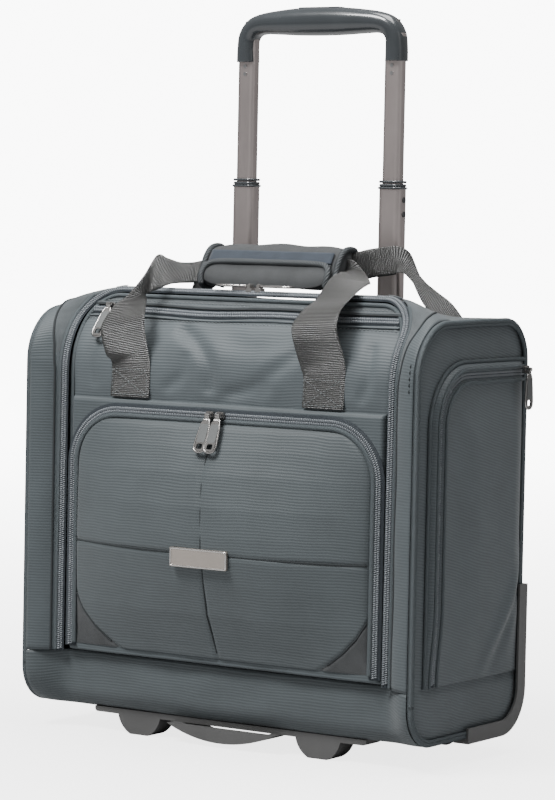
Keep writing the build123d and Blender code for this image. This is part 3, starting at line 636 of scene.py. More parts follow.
def ring_edge(offset, n, stand, rise=1.0):
    """A path round the front panel's edge, offset outwards, with the face's normals."""
    xz = arch_path(171 + offset, 72.5, 399 + offset, 30 + offset, n)
    p = np.stack([xz[:, 0], lid_y(np.minimum(xz[:, 1], 405.0)), xz[:, 1]], 1)
    normal = lid_normal(np.minimum(xz[:, 1], 402.0))
    return p + normal * (stand + rise * np.interp(p[:, 2], PROUD_Z, PROUD))[:, None], normal


# the seam that divides the gusset: its share of the gusset's width, by height
GUSSET_SEAM_Z = [71, 330, 352, 368, 386, 400]
GUSSET_SEAM_C = [0.2, 0.22, 0.32, 0.48, 0.66, 0.75]
GUSSET_BASE_Z, GUSSET_BEND_Z = 71.5, 340.0


def gusset_edges(side):
    """The gusset's edge at the zip and its edge at the side piping, with matching rows."""
    inner, _ = ring_edge(8.5, 600, -0.6)
    inner = inner[inner[:, 0] < -140] * [-side, 1, 1]
    outer = span(SIDE, (-20, 387), (-80, 71), 400)[::-1]
    zs = np.linspace(GUSSET_BASE_Z, GUSSET_BEND_Z, 60)
    a = np.vstack([at_length(zs, inner[:, 2], inner).T, resample(inner[inner[:, 2] > GUSSET_BEND_Z], 50)])
    first = int(np.argmax(outer[:, 1] > GUSSET_BEND_Z))
    low = np.stack([np.interp(zs, outer[:260, 1], outer[:260, 0]), zs], 1)
    b = np.vstack([low, resample(outer[first:], 50)])
    v = np.r_[zs, GUSSET_BEND_Z + np.arange(50) * 1.9]
    return a, np.concatenate([np.full((len(b), 1), side * HALF_W), b], 1), v


def build_gusset():
    """The fabric frame between the main zip and the sides: plain, smooth at the top and ribbed by the zip."""
    pieces = []
    for side in (-1, 1):
        a, b, v = gusset_edges(side)
        c = np.linspace(0, 1, 15)
        p = a[:, None] * (1 - c)[None, :, None] + b[:, None] * c[None, :, None]
        n = grid_normals(p)
        if n[20, 7] @ np.array([0, -1, 0.2]) < 0:
            n = -n
        ripple = 0.5 * np.sin(np.linspace(0, 30, len(a)))[:, None] * np.sin(np.pi * c)[None, :]
        p = p + n * (2.4 * np.sin(np.pi * c)[None, :] ** 0.8 + ripple)[..., None]
        row_z, col_c = 0.5 * (a[1:, 2] + a[:-1, 2]), 0.5 * (c[1:] + c[:-1])
        by_zip = col_c[None, :] < np.interp(row_z, GUSSET_SEAM_Z, GUSSET_SEAM_C)[:, None]
        cloth = np.where(by_zip, np.where(row_z > 345, 1, 2)[:, None], 0).ravel()
        mats = ("gusset", "wedge", "twill")
        pieces.append(patch("gusset", p, mats, pair(c * 30, v[:, None]), face_mat=cloth))
        bpy.context.view_layer.objects.active = pieces[-1]
        bpy.ops.object.modifier_apply(modifier="thickness")
        # the seam between the two cloths, as a dark cord in the seam-shadow colour: painted shade in the seam's
        # groove
        place = np.interp(a[:, 2], GUSSET_SEAM_Z, GUSSET_SEAM_C) * (len(c) - 1)
        k = np.clip(place.astype(int), 0, len(c) - 2)
        rows = np.arange(len(a))
        line = p[rows, k] + (p[rows, k + 1] - p[rows, k]) * (place - k)[:, None]
        pieces.append(tube_mesh("gusset_seam_shade", line, 1.1, "seam", sides=6, up=FORWARD))
        if side > 0:
            # a short row of stitches near the outer edge
            keep = (a[:, 2] > 322) & (a[:, 2] < 358)
            p, n = p[keep, -3], n[keep, -3]
            pieces.append(stitches("gusset_stitches", p + n * 0.2, n, "seam", 3.4, 2.0, 0.5))
    finish_piece(join("front_gusset_cloth", pieces), "case", ["front_gusset"])


def build_main_zip():
    p, n = ring_edge(4.6, 460, 0.2)
    finish_piece(zip_run("main_zip_run", p, n, 8.0), "case", ["main_zip"])
    p, n = ring_edge(9.6, 700, 0.4)
    for side, tag in SIDES:
        keep = (p[:, 0] * side > 120) & (p[:, 2] < 398)
        o = tube_mesh("main_zip_binding_" + tag, p[keep], 1.9, "twill", up=n[keep])
        finish_piece(o, "case", ())


# a cord and a thinner flange: name, inset, distance from the middle, radius, CAD node
PIPING = (("piping_", 2.2, 207.6, 2.6, ["edge_piping"]), ("piping_flange_", 4.8, 208.6, 1.5, ()))


def build_piping():
    for side, tag in SIDES:
        for part, inset, x, r, nodes in PIPING:
            c = resample(offset_outline(SIDE, -inset), 360, closed=True)
            p = np.concatenate([np.full((len(c), 1), side * x), c], 1)
            o = tube_mesh(part + tag, p, r, "twill", closed=True, up=(1, 0, 0))
            finish_piece(o, "case", nodes)


# ---------------------------------------------------------------- sides
SIDE_X = 205.2
# folds of the side's cloth: height, centre (y, z), lean (y, z), half width, half length
SIDE_FOLDS = ((2.4, (92, 150), (0.8, 0.35), 13.0, 150, 75.0), (-1.8, (70, 140), (0.85, 0.4), 12.0, 150, 80.0))
BAND_SEAM_Z = 71.5


def lean_uv(y, z):
    """Side cloth's UV, its ribs slightly off level."""
    return np.stack([y / 1000, z / 1000 + y * 0.00024], -1)


def build_sides():
    """Each side panel from concentric rings, swelling inside its piping, with two folds low at the back."""
    rim = resample(offset_outline(SIDE, -2.6), 240, closed=True)
    rings = np.linspace(0, 1, 46) ** 1.1
    flat = np.vstack([rim * (1 - f) + np.array([10.0, 200.0]) * f for f in rings])
    coarse = resample(rim, 90, closed=True)
    d = path_distance(flat, np.vstack([coarse, coarse[:1]]))
    y, z = flat.T
    fold = sum(
        height * bell((y - y0) * lean_y + (z - z0) * lean_z, wide) * bell(z - middle, long)
        for height, (y0, z0), (lean_y, lean_z), wide, middle, long in SIDE_FOLDS
    )
    out = SIDE_X + 2.6 * (1 - np.exp(-d / 9.0)) + fold * np.clip(d / 20, 0, 1)
    out += smooth01((BAND_SEAM_Z - z) / 4.0) * np.clip(d / 12, 0, 1) - 1.5 * bell(z - BAND_SEAM_Z, 1.6)
    for side, tag in SIDES:
        faces = grid_faces(len(rings), len(rim), wrap=True, flip=side < 0)
        o = make_mesh("side_cloth_" + tag, np.stack([side * out, y, z], 1), faces, lean_uv(y, z), ("shell",))
        finish_piece(o, "case", ["side_panel_" + tag])


POCKET_FRONT_Y, POCKET_REAR_Y = -58.0, 101.0
POCKET_BASE_Z, POCKET_TOP_Z, POCKET_R = 73.5, 352.0, 56.0
POCKET_PLANE_X = 207.6
SIDE_ZIP_INSET = 12.0


def side_arch(inset=0.0, n=300):
    """The side pocket's edge in (y, z), set in: forward along the top, round the corner and down."""
    y0, z1, r = POCKET_FRONT_Y + inset, POCKET_TOP_Z - inset, POCKET_R - inset
    ang = np.linspace(np.pi / 2, np.pi, 24)
    arc = np.stack([y0 + r + r * np.cos(ang), z1 - r + r * np.sin(ang)], 1)
    return resample(np.vstack([[[POCKET_REAR_Y, z1]], arc, [[y0, POCKET_BASE_Z]]]), n)


def side_pocket_x(y, z, d):
    """The side pocket's distance from the case's middle, d being the distance inside its edge."""
    h = 6.6 * smooth01(d / 5.0) + 3.0 * smooth01((d - 18) / 60)
    h -= 3.0 * np.exp(-(((d - SIDE_ZIP_INSET) / 3.4) ** 4))
    h *= 0.35 + 0.65 * smooth01((z - POCKET_BASE_Z) / 70)
    h *= smooth01((POCKET_REAR_Y + 1.0 - y) / 26) ** 0.5
    slant = (z - 130) * 0.62
    fold = 3.0 * bell(y - 66 - slant, 9.0) - 2.4 * bell(y - 84 - slant, 8.0)
    return POCKET_PLANE_X + h + fold * bell(z - 128, 42.0) * smooth01((d - 20) / 20)


def build_side_pockets():
    """The zipped pocket on each side, with its cords, open at the rear and at the bottom seam."""
    z = POCKET_BASE_Z + (POCKET_TOP_Z - POCKET_BASE_Z) * np.linspace(0, 1, 130) ** 0.92
    start = -arch_half(z, -POCKET_FRONT_Y, POCKET_TOP_Z, POCKET_R)
    y = start[:, None] + np.linspace(0, 1, 110)[None, :] ** 1.35 * (POCKET_REAR_Y - start)[:, None]
    zz = np.broadcast_to(z[:, None], y.shape)
    d = path_distance(np.stack([y.ravel(), zz.ravel()], 1), side_arch(n=120)).reshape(y.shape)
    x = side_pocket_x(y, zz, d)
    for side, tag in SIDES:
        o = patch("side_pocket_cloth_" + tag, np.stack([side * x, y, zz], -1), ("shell",), lean_uv(y, zz), 1.6)
        finish_piece(o, "case", ["side_pockets"])
        p = side_line(side, SIDE_ZIP_INSET, 0.6)
        o = zip_run("side_zip_run_" + tag, p[::side], np.array([side, 0, 0.0]), 9.0)
        finish_piece(o, "case", ["side_zips"])
        for inset, stand, r in ((0.6, 1.0, 1.9), (6.6, 0.5, 1.3), (18.5, 0.5, 1.6)):
            cord = side_line(side, inset, stand)
            o = tube_mesh(f"side_pocket_cord_{tag}_{int(inset)}", cord, r, "twill", up=(1, 0, 0))
            finish_piece(o, "case", ())


def side_line(side, inset, stand):
    """A path on the side pocket, parallel to its edge and standing off its cloth."""
    y, z = side_arch(inset).T
    return np.stack([side * (side_pocket_x(y, z, np.full(len(y), inset)) + stand), y, z], 1)


# ---------------------------------------------------------------- front panel
LID_BASE_Z, LID_TOP_Z, LID_HALF, LID_R = 74.0, 399.0, 171.0, 30.0
LID_SEAM_Z, LID_BINDING_BASE_Z = 379.5, 79.0
# soft folds above the front pocket: line in (x, z), width and depth
LID_FOLDS = (
    ([(-56, 370), (-36, 358), (-21, 342), (-18, 320)], 6.5, 4.6),
    ([(4, 315), (28, 322), (48, 336), (74, 354)], 7.5, 3.4),
    ([(-64, 318), (-50, 330), (-46, 346)], 6.0, 2.2),
    ([(-2, 362), (28, 358), (60, 364)], 9.0, 1.8),
    ([(142, 318), (148, 336), (146, 360)], 6.0, 2.2),
    ([(-146, 320), (-150, 344), (-142, 366)], 6.0, 1.6),
    ([(34, 312), (44, 322)], 6.0, 2.0),
)


def build_lid():
    """The front panel's cloth, soft above the pocket, with a binding round its edge."""
    rows, cols = 150, 121
    z = LID_BASE_Z + (LID_TOP_Z - LID_BASE_Z) * np.linspace(0, 1, rows) ** 0.85
    x, zz, half = arch_grid(z, cols, LID_HALF, LID_TOP_Z, LID_R)
    edge = np.minimum(half - np.abs(x), np.minimum(LID_TOP_Z + 0.5 - zz, 60))
    soft = np.zeros_like(x)
    for run, wide, deep in LID_FOLDS:
        d = path_distance(np.stack([x.ravel(), zz.ravel()], 1), spline(run, 14)).reshape(x.shape)
        soft += deep * (0.55 * bell(d, 2.7 * wide) - bell(d, wide))
    free = smooth01((zz - 306) / 12) * smooth01((382 - zz) / 12)
    h = (soft + np.sin(x / 37.0 + zz / 29.0)) * free - 3.0 * np.exp(-np.clip(edge, 0, None) / 2.5)
    h -= 0.9 * bell(zz - LID_SEAM_Z, 1.2) * (np.abs(x) < 160)
    p = np.stack([x, lid_y(zz), zz], -1) + lid_normal(zz) * h[..., None]
    cloth = np.repeat((z[:-1] > 392).astype(int), cols - 1)
    o = patch("front_panel_cloth", p, ("shell", "wedge"), pair(x, zz), 2.0, cloth)
    finish_piece(o, "front_panel", ["front_panel"])
    p, n = ring_edge(-0.5, 420, -0.6, 0.0)
    above_band = p[:, 2] > LID_BINDING_BASE_Z
    o = tube_mesh("front_panel_binding", p[above_band], 2.1, "twill", up=n[above_band])
    finish_piece(o, "front_panel", ())


UPPER_ZIP_Z = 385.0


def build_upper_zip():
    """The level zip near the panel's top, slightly wavy, with welts and a stitch row on both sides, and a thin
    dark cord of painted shadow under the upper welt.
    """
    x = np.linspace(-166, 166, 180)
    z = UPPER_ZIP_Z + np.sin(x / 26.0) * np.clip(1.5 - np.abs(x) / 110, 0, 1)
    p, n = on_lid(x, z, 0.2)
    finish_piece(zip_run("upper_zip_run", p, n, 9.0), "front_panel", ())
    # the thin cord 4.4 mm above the zip, in the seam-shadow colour, is a painted shadow under the welt above it
    for dz, r, mat, stand in ((6.0, 1.5, "wedge", 0.4), (4.4, 0.8, "seam", 0.9), (-5.6, 1.0, "shell", 0.4)):
        p, _ = on_lid(x, z + dz, stand)
        o = tube_mesh(f"upper_zip_welt_{int(abs(dz) * 10)}", p, r, mat, sides=8, up=FORWARD)
        finish_piece(o, "front_panel", ())
    for k, dz in enumerate((-8.0, 8.5)):
        p, n = on_lid(x, np.full_like(x, UPPER_ZIP_Z + dz), 0.4)
        finish_piece(stitches(f"upper_zip_stitches_{k}", p, n), "front_panel", ())


# ---------------------------------------------------------------- front pocket
DOOR_HALF, DOOR_TOP, DOOR_R = 168.0, 300.0, 54.0
BAND_BASE_Z, BAND_TOP_Z = 76.0, 307.0
FACE_BASE_Z, FACE_INSET, EDGE_ROLL = 81.0, 9.6, 3.2
# how far the stuffed face stands out at its middle, by height
DOME_Z = [74, 91, 121, 150, 170, 178, 192, 217, 246, 268, 284, 297]
DOME_OUT = [0.0, 5.5, 18.0, 26.0, 30.0, 31.0, 30.6, 28.2, 22.0, 14.5, 7.5, 0.0]
# the seams: a wandering upright one, a level one, and one that cuts off each lower corner
UPRIGHT_Z = [74, 91, 121, 163, 192, 217, 246, 268, 290]
UPRIGHT_X = [2.0, 0.5, -1.0, 0.5, -0.8, -3.0, -6.0, -4.0, 0.0]
LEVEL_SEAM_Z = 176.0
GORE_X = [99.9, 100, 108, 120, 133, 147, 156, 166]
GORE_Z = [-400, 77, 81, 88.5, 98, 112, 126, 146]


def upright_x(z):
    return np.interp(z, UPRIGHT_Z, UPRIGHT_X)


def gore_z(x):
    return np.interp(np.abs(x), GORE_X, GORE_Z)


def pocket_y(x, z):
    """Depth of the stuffed face, crowned both ways."""
    across = np.clip(1 - np.clip(np.abs(x) / 164.0, 0, 1) ** 2.6, 0, 1) ** 0.9
    return -66.0 - np.interp(z, DOME_Z, DOME_OUT) * across


def door_distance(x, z):
    """Distance inside the pocket's rounded door, negative outside it."""
    qx = np.abs(x) - (DOOR_HALF - DOOR_R)
    qz = z - (DOOR_TOP - DOOR_R)
    corner = DOOR_R - np.hypot(np.clip(qx, 0, None), np.clip(qz, 0, None))
    d = np.where((qx > 0) & (qz > 0), corner, np.minimum(DOOR_HALF - np.abs(x), DOOR_TOP - z))
    return np.minimum(d, z - BAND_BASE_Z)


def door_path(inset, base_z, y):
    """A path round the pocket's door, set in from its edge."""
    xz = arch_path(DOOR_HALF - inset, base_z, DOOR_TOP - inset, DOOR_R - inset, 420)
    return np.stack([xz[:, 0], np.full(len(xz), y), xz[:, 1]], 1)


def build_pocket_band():
    """The band round the pocket's door, with a square fold at its edge, and the zip on it."""
    x, z = np.meshgrid(DOOR_HALF * eased(161), np.linspace(BAND_BASE_Z, BAND_TOP_Z, 120))
    inside = np.minimum(DOOR_HALF - np.abs(x), BAND_TOP_Z - z)
    edge = 5.2 * np.sqrt(np.clip(1 - (1 - np.clip(inside / 4.0, 0, 1)) ** 2, 0, 1))
    y = -60.5 - edge - 0.3 * np.sin(x / 11.0) * np.clip(inside / 8, 0, 1)
    y += 3.0 * smooth01((door_distance(x, z) - 9) / 4)
    o = patch("front_pocket_band", np.stack([x, y, z], -1), ("gusset",), pair(x, z), 0)
    finish_piece(o, "front_panel", ["front_pocket"])
    o = zip_run("pocket_zip_run", door_path(3.6, 78, -66.4), FORWARD, 12.0)
    finish_piece(o, "front_panel", ["panel_zips"])


def build_pocket_face():
    """The stuffed face, its edge rolled under, with grooves at its seams and smooth lower corners."""
    hw, top, r = (v - FACE_INSET for v in (DOOR_HALF, DOOR_TOP, DOOR_R))
    z = FACE_BASE_Z + (top - FACE_BASE_Z) * (eased(190) * 0.5 + 0.5)
    x, zz, half = arch_grid(z, 221, hw, top, r)
    d = np.minimum(np.minimum(half - np.abs(x), top - zz), zz - FACE_BASE_Z)
    groove = bell(x - upright_x(zz), 1.5) + bell(zz - LEVEL_SEAM_Z, 1.5) + bell(zz - gore_z(x), 2.0)
    roll = EDGE_ROLL * np.clip((zz - FACE_BASE_Z) / 12, 0.15, 1) * np.exp(-np.clip(d, 0, None) / 2.2)
    y = pocket_y(x, zz) + 1.6 * np.clip(groove, 0, 1) + roll
    y += 0.7 * np.sin(x / 31 + zz / 47) * np.clip(d / 30, 0, 1)
    xc, zc = (0.25 * (g[1:, 1:] + g[:-1, 1:] + g[1:, :-1] + g[:-1, :-1]) for g in (x, zz))
    cloth = (zc < gore_z(xc)).astype(int).ravel()
    o = patch("pocket_face_cloth", np.stack([x, y, zz], -1), ("panel", "smooth"), pair(x, zz), 1.2, cloth)
    finish_piece(o, "pocket_face", ["pocket_face"])


def build_face_groove_shade():
    """Dark cords sunk in the grooves where the face's cloths meet, painted shade in those grooves: (x, z) of
    each run, and its depth below the face.
    """
    z = np.linspace(86, 288, 160)
    x = np.linspace(-156, 156, 200)
    runs = [(upright_x(z), z, 1.1), (x, np.full_like(x, LEVEL_SEAM_Z), 1.1)]
    corner = np.linspace(116.5, 156.5, 90)
    runs += [(side * corner, gore_z(corner), 1.0) for side in (-1, 1)]
    paths = [np.stack([x, pocket_y(x, z) + deep, z], 1) for x, z, deep in runs]
    tubes = [tube_mesh(f"face_groove_shade_{i}", p, 0.75, "seam", sides=6, up=FORWARD) for i, p in enumerate(paths)]
    finish_piece(join("pocket_face_groove_shade", tubes), "pocket_face", ())


def build_face_piping():
    """The cord round the face."""
    o = tube_mesh("pocket_face_piping", door_path(8.4, FACE_BASE_Z, -67.2), 2.3, "twill", up=FORWARD)
    finish_piece(o, "pocket_face", ())


# ---------------------------------------------------------------- webbing
# both edges of the front webbing on each side: outer edge, inner edge, from the sewn patch to the hand wrap
FRONT_STRAP = {
    -1: [
        ((-125, -63.6, 308), (-82.5, -63.6, 308)), ((-125, -62.4, 337), (-83, -61.8, 337)),
        ((-126, -70.4, 346), (-85, -63.5, 353)), ((-126, -77, 361), (-86, -66.5, 369)),
        ((-124, -80, 373), (-86, -67, 383)), ((-114.5, -75, 390), (-92, -57, 391)),
        ((-106, -66, 400), (-96.5, -50, 396)), ((-98.5, -53, 417), (-99, -48.5, 400)),
        ((-96, -36.2, 436), (-95, -49, 402)), ((-91, -26.1, 433.4), (-92, -38, 405.5)),
        ((-86, -14.3, 430), (-87, -25, 410)), ((-80, -2.4, 430), (-79, -7.8, 411)),
        ((-75, 9.4, 432), (-73, 7.3, 411)), ((-69, 16.8, 431), (-68, 16, 412)),
        ((-63, 24, 431), (-62, 23, 413)),
    ],
    1: [
        ((125, -63.6, 308), (82.5, -63.6, 308)), ((125, -61.8, 333), (82.5, -62.4, 333)),
        ((125, -62, 346), (82, -65.5, 342)), ((124, -66, 360), (82, -74, 356.7)),
        ((123, -71, 372), (82, -81, 371.6)), ((122, -72, 381.6), (82, -80, 381.2)),
        ((121, -64.2, 394.4), (82, -64.4, 393)), ((119, -48, 402.5), (82, -46, 401)),
        ((116, -26.3, 411), (80, -30, 411)), ((111, -6, 415), (77, -18, 417)),
        ((105, 8, 416), (75, -8, 421)), ((97, 15.5, 421), (72, 5.8, 425)),
        ((88, 18.6, 428.5), (70, 15, 424)), ((79, 19.1, 436), (68, 19, 420)),
        ((66, 22, 437), (62, 20, 420)),
    ],
}
# the right rear webbing, from the case to the hand wrap: point, direction across, width
REAR_STRAP = (
    ((139, 98, 372), (0.2, 0.98, 0), 36), ((133, 87, 389), (0.15, 0.98, 0.05), 34),
    ((124, 74, 405), (-0.1, 0.95, 0.2), 31), ((116, 68, 419), (-0.4, 0.85, 0.35), 28),
    ((109, 63, 431), (-0.4, 0.6, 0.8), 26), ((102, 58, 436), (-0.2, 0.2, 1), 26),
    ((94, 51, 435), (0, 0.1, 1), 26), ((84, 42, 433), (0, 0, 1), 26),
    ((76, 32, 430), (0, 0, 1), 26), ((62, 22, 428), (0, 0, 1), 25),
)
REAR_LEFT_DROP = 9.0
BOX_X, BOX_Y, BOX_Z, BOX_HALF = 103.5, -64.6, (310.5, 333.0), 19.0


def front_strap(side):
    """Webbing between its two edge curves."""
    outer, inner = (curve_through([e[k] for e in FRONT_STRAP[side]]) for k in (0, 1))
    across = outer - inner
    width = np.linalg.norm(across, axis=1)
    return ribbon("front_strap_%d" % side, 0.5 * (outer + inner), across, width, 1.8, square=False)


def rear_strap(side, n=120):
    """Webbing through its points; the left one is the right one mirrored, and hangs lower by the wrap."""
    path, across, widths = (np.array(column, float) for column in zip(*REAR_STRAP))
    if side < 0:
        path[:, 2] -= REAR_LEFT_DROP * np.clip((path[:, 2] - 390) / 30, 0, 1)
    flip = np.array([side, 1, 1])
    d = arc_length(path)
    t = np.linspace(0, d[-1], n)
    direction = at_length(t, d, across).T * flip
    return ribbon("rear_strap_%d" % side, spline(path * flip, n), direction, np.interp(t, d, widths), 2.0)


def box_stitches(side):
    """A sewn box with a cross in it."""
    left, right = side * BOX_X - BOX_HALF, side * BOX_X + BOX_HALF
    low, high = BOX_Z
    runs = (
        ((left, low), (right, low)), ((right, low), (right, high)), ((right, high), (left, high)),
        ((left, high), (left, low)), ((left, low), (right, high)), ((left, high), (right, low)),
    )
    rows = [
        stitches(f"box_{side}_{i}", resample([(x, BOX_Y, z) for x, z in run], 12), FORWARD)
        for i, run in enumerate(runs)
    ]
    return join("front_strap_box_%d" % side, rows)


def build_straps():
    fronts, rears = [], []
    for side in (-1, 1):
        fronts += [front_strap(side), box_stitches(side)]
        rears.append(rear_strap(side))
    finish_piece(join("front_strap_webbing", fronts), "front_panel", ["front_strap"])
    finish_piece(join("rear_strap_webbing", rears), "case", ["rear_strap"])


# ---------------------------------------------------------------- hand wrap
PAD_HALF, PAD_Y, PAD_SQUARE = 72.0, 18.0, 0.72
WRAP_LEAN, LEAN_Z = 0.42, 428.0
FLAP_HALF, FLAP_TOP_Z, FLAP_DROP = 66.0, 431.0, 22.0


def leaned(p):
    """Points of the hand wrap after its section leans back."""
    q = np.array(p, float)
    q[..., 1] += WRAP_LEAN * (q[..., 2] - LEAN_Z)
    return q


def build_pad():
    """The padded sleeve, with a thick binding round each end."""
    n, m = 90, 60
    s = np.linspace(-1, 1, n)[:, None]
    ang = np.linspace(0, 2 * np.pi, m, endpoint=False)[None, :]
    ca, sa = np.cos(ang), np.sin(ang)
    x = PAD_HALF * s + 0 * ang
    swell = (1 - 0.10 * np.abs(s) ** 5) * (1 + 0.02 * np.cos(s * 9))
    wrinkle = 0.8 * np.sin(x / 9.0 + 2 * sa) * np.clip(1 - np.abs(s) ** 3, 0, 1)
    y = PAD_Y + 15.5 * swell * squared(ca, PAD_SQUARE) + wrinkle * ca * 0.6
    z = 428.5 - 2.0 * s**2 + 19.5 * swell * squared(sa, PAD_SQUARE) + wrinkle * sa * 0.5
    p = leaned(np.stack([x, y, z], -1))
    pad = make_mesh("handle_pad_sleeve", p, capped_faces(n, m), pair(x, ang * 17), ("smooth",))
    finish_piece(pad, "case", ["handle_pad"])
    ang = np.linspace(0, 2 * np.pi, 48, endpoint=False)
    y, z = PAD_Y + 14.6 * squared(np.cos(ang), PAD_SQUARE), 426.5 + 18.4 * squared(np.sin(ang), PAD_SQUARE)
    for side, tag in SIDES:
        ring = leaned(np.stack([np.full(len(ang), side * PAD_HALF), y, z], 1))
        o = tube_mesh("handle_pad_binding_" + tag, ring, 2.9, "cord", closed=True, up=(1, 0, 0))
        finish_piece(o, "case", ())
    return pad


def build_flap(pad):
    """The wrap's front flap, open at the bottom, with a thick bound edge, and the loop strip above it."""
    across, down = np.meshgrid(np.linspace(-1, 1, 60), np.linspace(0, 1, 26), indexing="ij")
    x = FLAP_HALF * across
    y = PAD_Y - 16.2 - 3.6 * np.sin(np.pi * down * 0.85) - 0.6 * np.cos(x / 12)
    z = FLAP_TOP_Z - FLAP_DROP * down + 6 * np.abs(across) ** 6 * down
    flap = patch("handle_flap", leaned(np.stack([x, y, z], -1)), ("smooth",), thick=2.4, inside=WRAP_MIDDLE)
    finish_piece(flap, "case", ())
    left = [(-67, y[0, -1] - 0.4, 411), (-68, y[0, 12] - 0.8, 420)]
    left += [(-65, y[0, 4] - 1.2, 428), (-52, y[10, 0] - 1.4, 431.5)]
    rim = left + [(0, y[30, 0] - 1.4, 432)] + [(-a, b, c) for a, b, c in left[::-1]]
    o = tube_mesh("handle_flap_binding", leaned(spline(rim, 160)), 2.7, "cord", up=FORWARD)
    finish_piece(o, "case", ())
    across, down = np.meshgrid(np.linspace(-1, 1, 50), np.linspace(0, 1, 8), indexing="ij")
    strip = leaned(np.stack([FLAP_HALF * across, 2.6 - 1.6 * down, 442.0 - 10.0 * down], -1))
    o = patch("handle_loop_strip", strip, ("loop_strip",), thick=1.6, inside=WRAP_MIDDLE)
    finish_piece(o, "case", ())


# ---------------------------------------------------------------- pull handle
TUBE_X, TUBE_Y = 80.0, 81.5
# centre line of one half of the grip with its radii: x, z, in its plane, across its plane
GRIP_HALF = [
    (0, 651.5, 13.1, 13.8), (24, 651.4, 12.6, 13.6), (45, 651, 11.2, 12.8), (62, 650, 9.8, 12),
    (73, 646.5, 9.3, 11.2), (79.5, 638.5, 9.2, 10.6), (81, 628, 9.5, 10.4), (81, 615, 9.9, 10.4),
]


def build_grip():
    half = np.array(GRIP_HALF, float)
    run = curve_through(np.vstack([half[::-1] * [-1, 1, 1, 1], half[1:]]), 12)
    centre = np.stack([run[:, 0], np.full(len(run), TUBE_Y), run[:, 1]], 1)
    back = np.array([0, 1.0, 0])
    inward = np.cross(tangents(centre), back)
    ang = np.linspace(0, 2 * np.pi, 36, endpoint=False)
    flat = run[:, 2, None] * squared(np.cos(ang), 0.85)
    deep = run[:, 3, None] * squared(np.sin(ang), 0.85)
    ring = centre[:, None] + inward[:, None] * flat[..., None] + back * deep[..., None]
    uv = pair(arc_length(centre)[:, None], ang * 13)
    o = make_mesh("grip_body", ring, capped_faces(len(run), len(ang)), uv, ("grip",))
    finish_piece(o, "inner_stage", ["grip_front_shell", "grip_rear_shell"])


# rings at the top of the middle tubes: height, width, depth, bead radius
COLLAR_RINGS = ((500.6, 24.6, 16.6, 1.1), (503.0, 21.6, 14.6, 1.5), (506.2, 22.6, 15.6, 1.2))


def build_collars():
    rings = []
    for side in (-1, 1):
        for z, w, d, r in COLLAR_RINGS:
            oval = rounded_box((-w / 2, w / 2), (-d / 2, d / 2), d / 2.6, 10, 8, 120)
            path = np.stack([side * TUBE_X + oval[:, 0], TUBE_Y + oval[:, 1], np.full(len(oval), z)], 1)
            rings.append(tube_mesh(f"collar_{side}_{z:.0f}", path, r, "grip", closed=True))
    finish_piece(join("collar_rings", rings), "mid_stage", ["mid_collars"])


# ---------------------------------------------------------------- hard pieces kept from the CAD
# material, edge width in mm, nodes
CAD_PIECES = (
    ("plastic", 0.8, ("wheel_housings", "trolley_bezel", "trolley_foot")),
    ("plastic", 1.2, ("base_bar",)), ("plastic", 1.6, ("corner_guards",)), ("plastic", 2.0, ("bottom_handle",)),
    ("steel", 0.3, ("wheel_axles", "base_screws", "grip_rivets", "push_rods")),
    ("tube", 0.3, ("outer_tubes", "mid_tubes", "inner_tubes")),
    ("hub", 0.25, ("collar_plugs",)), ("hub", 0.3, ("mid_guides", "lock_blocks")),
    ("hub", 0.6, ("wheel_hub_left", "wheel_hub_right")), ("rubber", 0.6, ("tyre_left", "tyre_right")),
    ("grip", 0.8, ("release_button",)), ("plate", 0.5, ("nameplate",)),
    ("board", 0.5, ("back_board", "base_board")), ("lining", 1.0, ("laptop_divider",)),
)
SLIDERS = ("main_left", "main_right", "upper", "pocket_left", "pocket_right", "side_left", "side_right")


def zip_metal(name):
    """The main zip's sliders are bright, the others dark."""
    return "nickel" if name.startswith("main") else "gunmetal"


def bevelled(name, mat, width):
    """A hard CAD piece with soft edges and its material."""
    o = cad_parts[name]
    o.data.materials.clear()
    o.data.materials.append(MAT[mat])
    o.data.polygons.foreach_set("use_smooth", [True] * len(o.data.polygons))
    mod = o.modifiers.new("edges", "BEVEL")
    mod.width = width / 1000
    mod.segments = 3
    mod.limit_method = "ANGLE"
    mod.angle_limit = math.radians(30)
    mod.harden_normals = True


def dress_cad():
    for mat, width, names in CAD_PIECES:
        for name in names:
            bevelled(name, mat, width)
    for name in SLIDERS:
        bevelled(name + "_slider", zip_metal(name), 0.5)
        bevelled(name + "_pull", zip_metal(name), 0.45)


def node_points(name):
    """A CAD node's vertices in the frame, in mm."""
    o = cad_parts[name]
    return np.array([o.matrix_world @ q.co for q in o.data.vertices]) * 1000


def build_plate_rim():
    """A raised bead round the nameplate's face."""
    v = node_points("nameplate")
    lo, hi = v.min(0), v.max(0)
    box = rounded_box((lo[0] + 0.9, hi[0] - 0.9), (lo[2] + 0.9, hi[2] - 0.9), 1.6, 8, 10, 160)
    ring = np.stack([box[:, 0], np.full(len(box), lo[1] - SHIFT_Y - 0.05), box[:, 1]], 1)
    o = tube_mesh("nameplate_rim", ring, 0.75, "nickel", closed=True, sides=8, up=FORWARD)
    finish_piece(o, "pocket_face", ())


# a pull's outline from its free end to its neck, and the inlay's size: across, along
PULL_HALF = [(2.4, 30.0), (3.6, 27.5), (4.9, 21.0), (5.8, 12.0), (6.1, 5.0), (4.6, 0.6), (0.0, -0.9)]
INLAY_HALF, INLAY_FROM, INLAY_TO, INLAY_RISE = 4.3, 8.2, 25.5, 0.22


